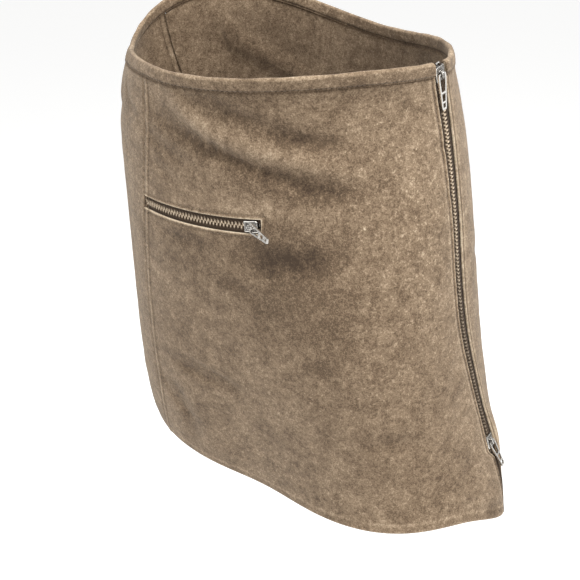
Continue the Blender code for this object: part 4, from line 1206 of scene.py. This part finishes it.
def model_tooth():
    """One tooth along +X, its head at the middle line and its clamp outside."""
    shape = bmesh.new()
    bmesh.ops.create_grid(shape, x_segments=len(TOOTH) - 1, y_segments=1, size=0.5)
    bmesh.ops.solidify(shape, geom=shape.faces[:], thickness=1.0)
    top = max(vertex.co.z for vertex in shape.verts)
    polish = shape.verts.layers.float.new(POLISH_AND_SHADING)
    for vertex in shape.verts:
        column = TOOTH[round((vertex.co.x + 0.5) * (len(TOOTH) - 1))]
        vertex[polish] = column.polish
        side, level = (1 if vertex.co.y > 0 else -1), (1 if vertex.co.z > top - 0.5 else -1)
        vertex.co = Vector((column.out, side * column.half_wide, level * column.half_thick)) * MM
    bmesh.ops.recalc_face_normals(shape, faces=shape.faces)
    round_edges(shape, TOOTH_BEVEL, 0.6, 1)
    return into_mesh(shape, "one_tooth")


def surface_frames(place, stations, across, level, step):
    """Frames on the form: x across the line, y along it and z outwards."""
    def point(station):
        return laid(*place(station, across), level)
    middle, out = point(stations)
    along = point(stations + step)[0] - point(stations - step)[0]
    along /= np.linalg.norm(along, axis=-1, keepdims=True)
    out = out - along * np.sum(out * along, -1, keepdims=True)
    out /= np.linalg.norm(out, axis=-1, keepdims=True)
    frames = []
    for centre, forward, normal in zip(*(map(Vector, part) for part in (middle, along, out))):
        axes = Matrix((forward.cross(normal), forward, normal)).transposed().to_4x4()
        frames.append(Matrix.Translation(centre) @ axes)
    return frames


def repeat(template, frames, shine=()):
    """One bmesh with a copy of the template in each frame, each copy's brightness scaled by its own
    share.
    """
    shape = bmesh.new()
    for index, place in enumerate(frames):
        start = len(shape.verts)
        shape.from_mesh(template)
        shape.verts.ensure_lookup_table()
        bmesh.ops.transform(shape, matrix=place, verts=shape.verts[start:])
        if shine:
            polish = shape.verts.layers.float[POLISH_AND_SHADING]
            for vertex in shape.verts[start:]:
                vertex[polish] *= shine[index]
    return shape


def on_main_zip(drop, across):
    return beside(zip_line(drop), drop, across), drop


def on_pocket_zip(angle, across):
    return angle, pocket_drop(angle, across)


def zip_brightness_and_pull_shade(drop):
    """The long zip's teeth are brighter above about 0.43 of the drop and darker below; under the
    hanging top pull they are darkened as painted shade.
    """
    rubbed = 0.95 - 0.75 / (1 + np.exp(-(drop - 0.43) / 0.05))
    return np.where(drop < UNDER_PULL, UNDER_PULL_SHADE, rubbed)


def rubbed_evenly(station):
    return 0.75 + 0.0 * station


def add_core(shape, frames):
    """The two cords that closed teeth grip: a dark ribbon, so that no light comes through."""
    rings = [[shape.verts.new(place @ (Vector((x, 0, z)) * MM)) for x, z in CORE_CORNERS]
             for place in frames]
    faces = [shape.faces.new(rings[0]), shape.faces.new(rings[-1][::-1])]
    for one, other in zip(rings[:-1], rings[1:]):
        for index in range(len(CORE_CORNERS)):
            after = (index + 1) % len(CORE_CORNERS)
            faces.append(shape.faces.new((one[index], one[after], other[after], other[index])))
    bmesh.ops.recalc_face_normals(shape, faces=faces)


def set_teeth(name, place, start, end, per_mm, level, step, rubbed, stands_for, spread=0.0):
    """Teeth of both sides between two stations. spread moves each side out from the middle."""
    count, pitch = int((end - start) / per_mm / TOOTH_STEP), TOOTH_STEP * per_mm
    frames, shine = [], []
    for side, late in ((-1, 0.0), (1, 0.5)):
        stations = start + (np.arange(count) + late) * pitch
        # On the long zip these shares include the painted shade under the top pull.
        shine += list(rubbed(stations))
        lean = Matrix.Rotation(np.radians(-side * TOOTH_LEAN), 4, "Z")
        turned = lean @ HALF_TURN if side < 0 else lean
        upright = surface_frames(place, stations, side * spread, level, step)
        frames += [frame_here @ turned for frame_here in upright]
    shape = repeat(model_tooth(), frames, shine)
    if spread == 0:
        stations = np.linspace(start - CORE_PAST * per_mm, end + CORE_PAST * per_mm, count + 1)
        add_core(shape, surface_frames(place, stations, 0.0, level, step))
    finish_piece(shape, name, tooth_metal, stands_for)


set_teeth("main_zip_teeth", on_main_zip, TOP_SLIDER_DROP + CLEAR_OF_SLIDER * PER_MM,
          BOTTOM_SLIDER_DROP - CLEAR_OF_SLIDER * PER_MM, PER_MM, TAPE_MIDDLE + TOOTH_RISE,
          DROP_STEP, zip_brightness_and_pull_shade, ["main_zip_chain"])
set_teeth("open_zip_teeth", on_main_zip, BOTTOM_SLIDER_DROP + CLEAR_BELOW * PER_MM,
          HEM_FOLD - 0.006, PER_MM, TAPE_MIDDLE + OPEN_LEVEL, DROP_STEP, zip_brightness_and_pull_shade,
          ["open_teeth_front", "open_teeth_back"], spread=1.0)
set_teeth("pocket_zip_teeth", on_pocket_zip, POCKET_START + SEAM_CLEAR, POCKET_SLIDER - 1.0,
          1 / MM_PER_DEGREE, TAPE_MIDDLE + TOOTH_RISE, ANGLE_STEP, rubbed_evenly,
          ["pocket_zip_chain"])

# %% [markdown]
# ## Sliders and pulls
#
# The sliders and their ladder-shaped pulls keep the solids' forms. A copy of each mesh is merged,
# its flat triangles are dissolved, and its edges are bevelled, because a cast slider has no sharp
# edges and its highlights sit on the round ones.

# %% Round the edges of the sliders and the pulls
FLAT_AREA = 1.2e-6  # square metres, for faces that get a worn rim
CAST_BEVEL = 0.22  # mm


def cast(node, body, rim_polish, flat_polish):
    """A finer copy of a metal node, with rounded edges that are paler than its flats, partly from
    rubbing and partly as painted highlight.
    """
    shape = bmesh.new()
    shape.from_mesh(bpy.data.objects[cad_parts[node].name].data)
    bmesh.ops.remove_doubles(shape, verts=shape.verts, dist=0.00001)
    bmesh.ops.dissolve_limit(shape, angle_limit=0.02, verts=shape.verts, edges=shape.edges)
    rounded = set(round_edges(shape, CAST_BEVEL, 0.5)["faces"])
    polish = shape.verts.layers.float.new(POLISH_AND_SHADING)
    # The rims get the paler value: partly rubbed plating, partly painted highlight.
    for vertex in shape.verts:
        vertex[polish] = rim_polish
    flats = [face for face in shape.faces if face not in rounded and face.calc_area() > FLAT_AREA]
    bmesh.ops.inset_individual(shape, faces=flats, thickness=CAST_BEVEL * MM, use_even_offset=False)
    for face in flats:
        for vertex in face.verts:
            vertex[polish] = flat_polish
    bmesh.ops.triangulate(shape, faces=[face for face in shape.faces if len(face.verts) > 4])
    finish_piece(shape, node + "_cast", slider_metal, [node], body)


for name, body, rubbed in (("top", TOP_TAB, 0.90), ("bottom", BOTTOM_TAB, 0.60),
                           ("pocket", POCKET_TAB, 0.48)):
    cast(name + "_slider", SKIRT, 0.90, 0.30)
    cast(name + "_pull", body, 1.00, rubbed)

# %% [markdown]
# ## Stitches
#
# Topstitching is a row of short floats of thread, each sunk in the cloth at both ends. A stitch
# is a stretched sphere of few faces. Rows of them follow the grooves that the cloth already has
# beside the zips and seams, and the ditch of the binding.

# %% Thread, and the rows of stitches
STITCH_STEP, STITCH_LONG, STITCH_HALF, STITCH_RISE = 3.3, 2.7, 0.3, 0.10
THREAD_TONES = ((0.3, (0.12, 0.09, 0.06)), (0.7, (0.28, 0.21, 0.145)))
BELOW_BINDING, ABOVE_HEM = BINDING_ROW + 0.004, 0.992


def thread_material():
    made, tree, shader = new_material("waxed_thread", Roughness=0.6, Specular_IOR_Level=0.3)
    fill(tree, shader, Base_Color=ramp(tree, noise(tree, CLUMPS), THREAD_TONES),
         Normal=bump(tree, noise(tree, FIBRES), 0.4, 0.0002))
    return made


def model_stitch():
    shape = bmesh.new()
    bmesh.ops.create_uvsphere(shape, u_segments=6, v_segments=4, radius=1.0)
    upright = Matrix.Rotation(np.pi / 2, 3, "X")
    bmesh.ops.rotate(shape, cent=(0, 0, 0), matrix=upright, verts=shape.verts)
    size = Vector((STITCH_HALF, STITCH_LONG / 2, STITCH_HALF)) * MM
    bmesh.ops.scale(shape, vec=size, verts=shape.verts)
    return into_mesh(shape, "one_stitch")


thread, stitch = thread_material(), model_stitch()


def cloth_level(angle, drop):
    """Height of the panels' outer face over the form."""
    on_front = (angle > through(FRONT_SEAM, drop)) & (angle < zip_line(drop))
    by_pocket = stitched_edge(np.where(on_front, pocket_distance(angle, drop), FAR_OFF))
    return panel_height(angle, drop) + 0.9 * by_pocket


def stitch_row(place, start, end, across, per_mm, step, level=None):
    """Frames of one row, on the cloth or at a level of its own."""
    count = max(int((end - start) / per_mm / STITCH_STEP), 1)
    stations = start + (np.arange(count) + 0.5) * (end - start) / count
    height = cloth_level(*place(stations, across)) + STITCH_RISE if level is None else level
    return surface_frames(place, stations, across, height, step)


def outside_zip(side):
    """A place function for distances outside one of the zip's edges."""
    return lambda drop, across: on_main_zip(drop, opening_edge(side, drop) + side * across)


def beside_seam(line):
    return lambda drop, across: (beside(through(line, drop), drop, across), drop)


def in_ditch(share, across):
    drop = (BINDING_DEEP - DITCH) / SKIRT_DROP + 0.0 * share
    return round_waist(share, drop), drop


rows = []
for side in (-1, 1):
    rows += stitch_row(outside_zip(side), BELOW_BINDING, ABOVE_HEM, GROOVE_AT, PER_MM, 0.003)
for line in (FRONT_SEAM, BACK_SEAM):
    for distance in SEAM_ROWS:
        rows += stitch_row(beside_seam(line), BELOW_BINDING, ABOVE_HEM, distance, PER_MM, 0.003)
for side in (-1, 1):
    rows += stitch_row(on_pocket_zip, POCKET_START + 3.5, POCKET_END + 0.8,
                       side * (POCKET_OPENING / 2 + GROOVE_AT), 1 / MM_PER_DEGREE, 0.5)
finish_piece(repeat(stitch, rows), "topstitching", thread)
ditch_row = stitch_row(in_ditch, 0.003, 0.997, 0.0, 1 / WAIST_ROUND, 0.002,
                       BINDING_OUT + PUFF * 0.3 - DITCH_DEEP + 0.12)
finish_piece(repeat(stitch, ditch_row), "binding_stitching", thread)
print(len(rows) + len(ditch_row), "stitches")
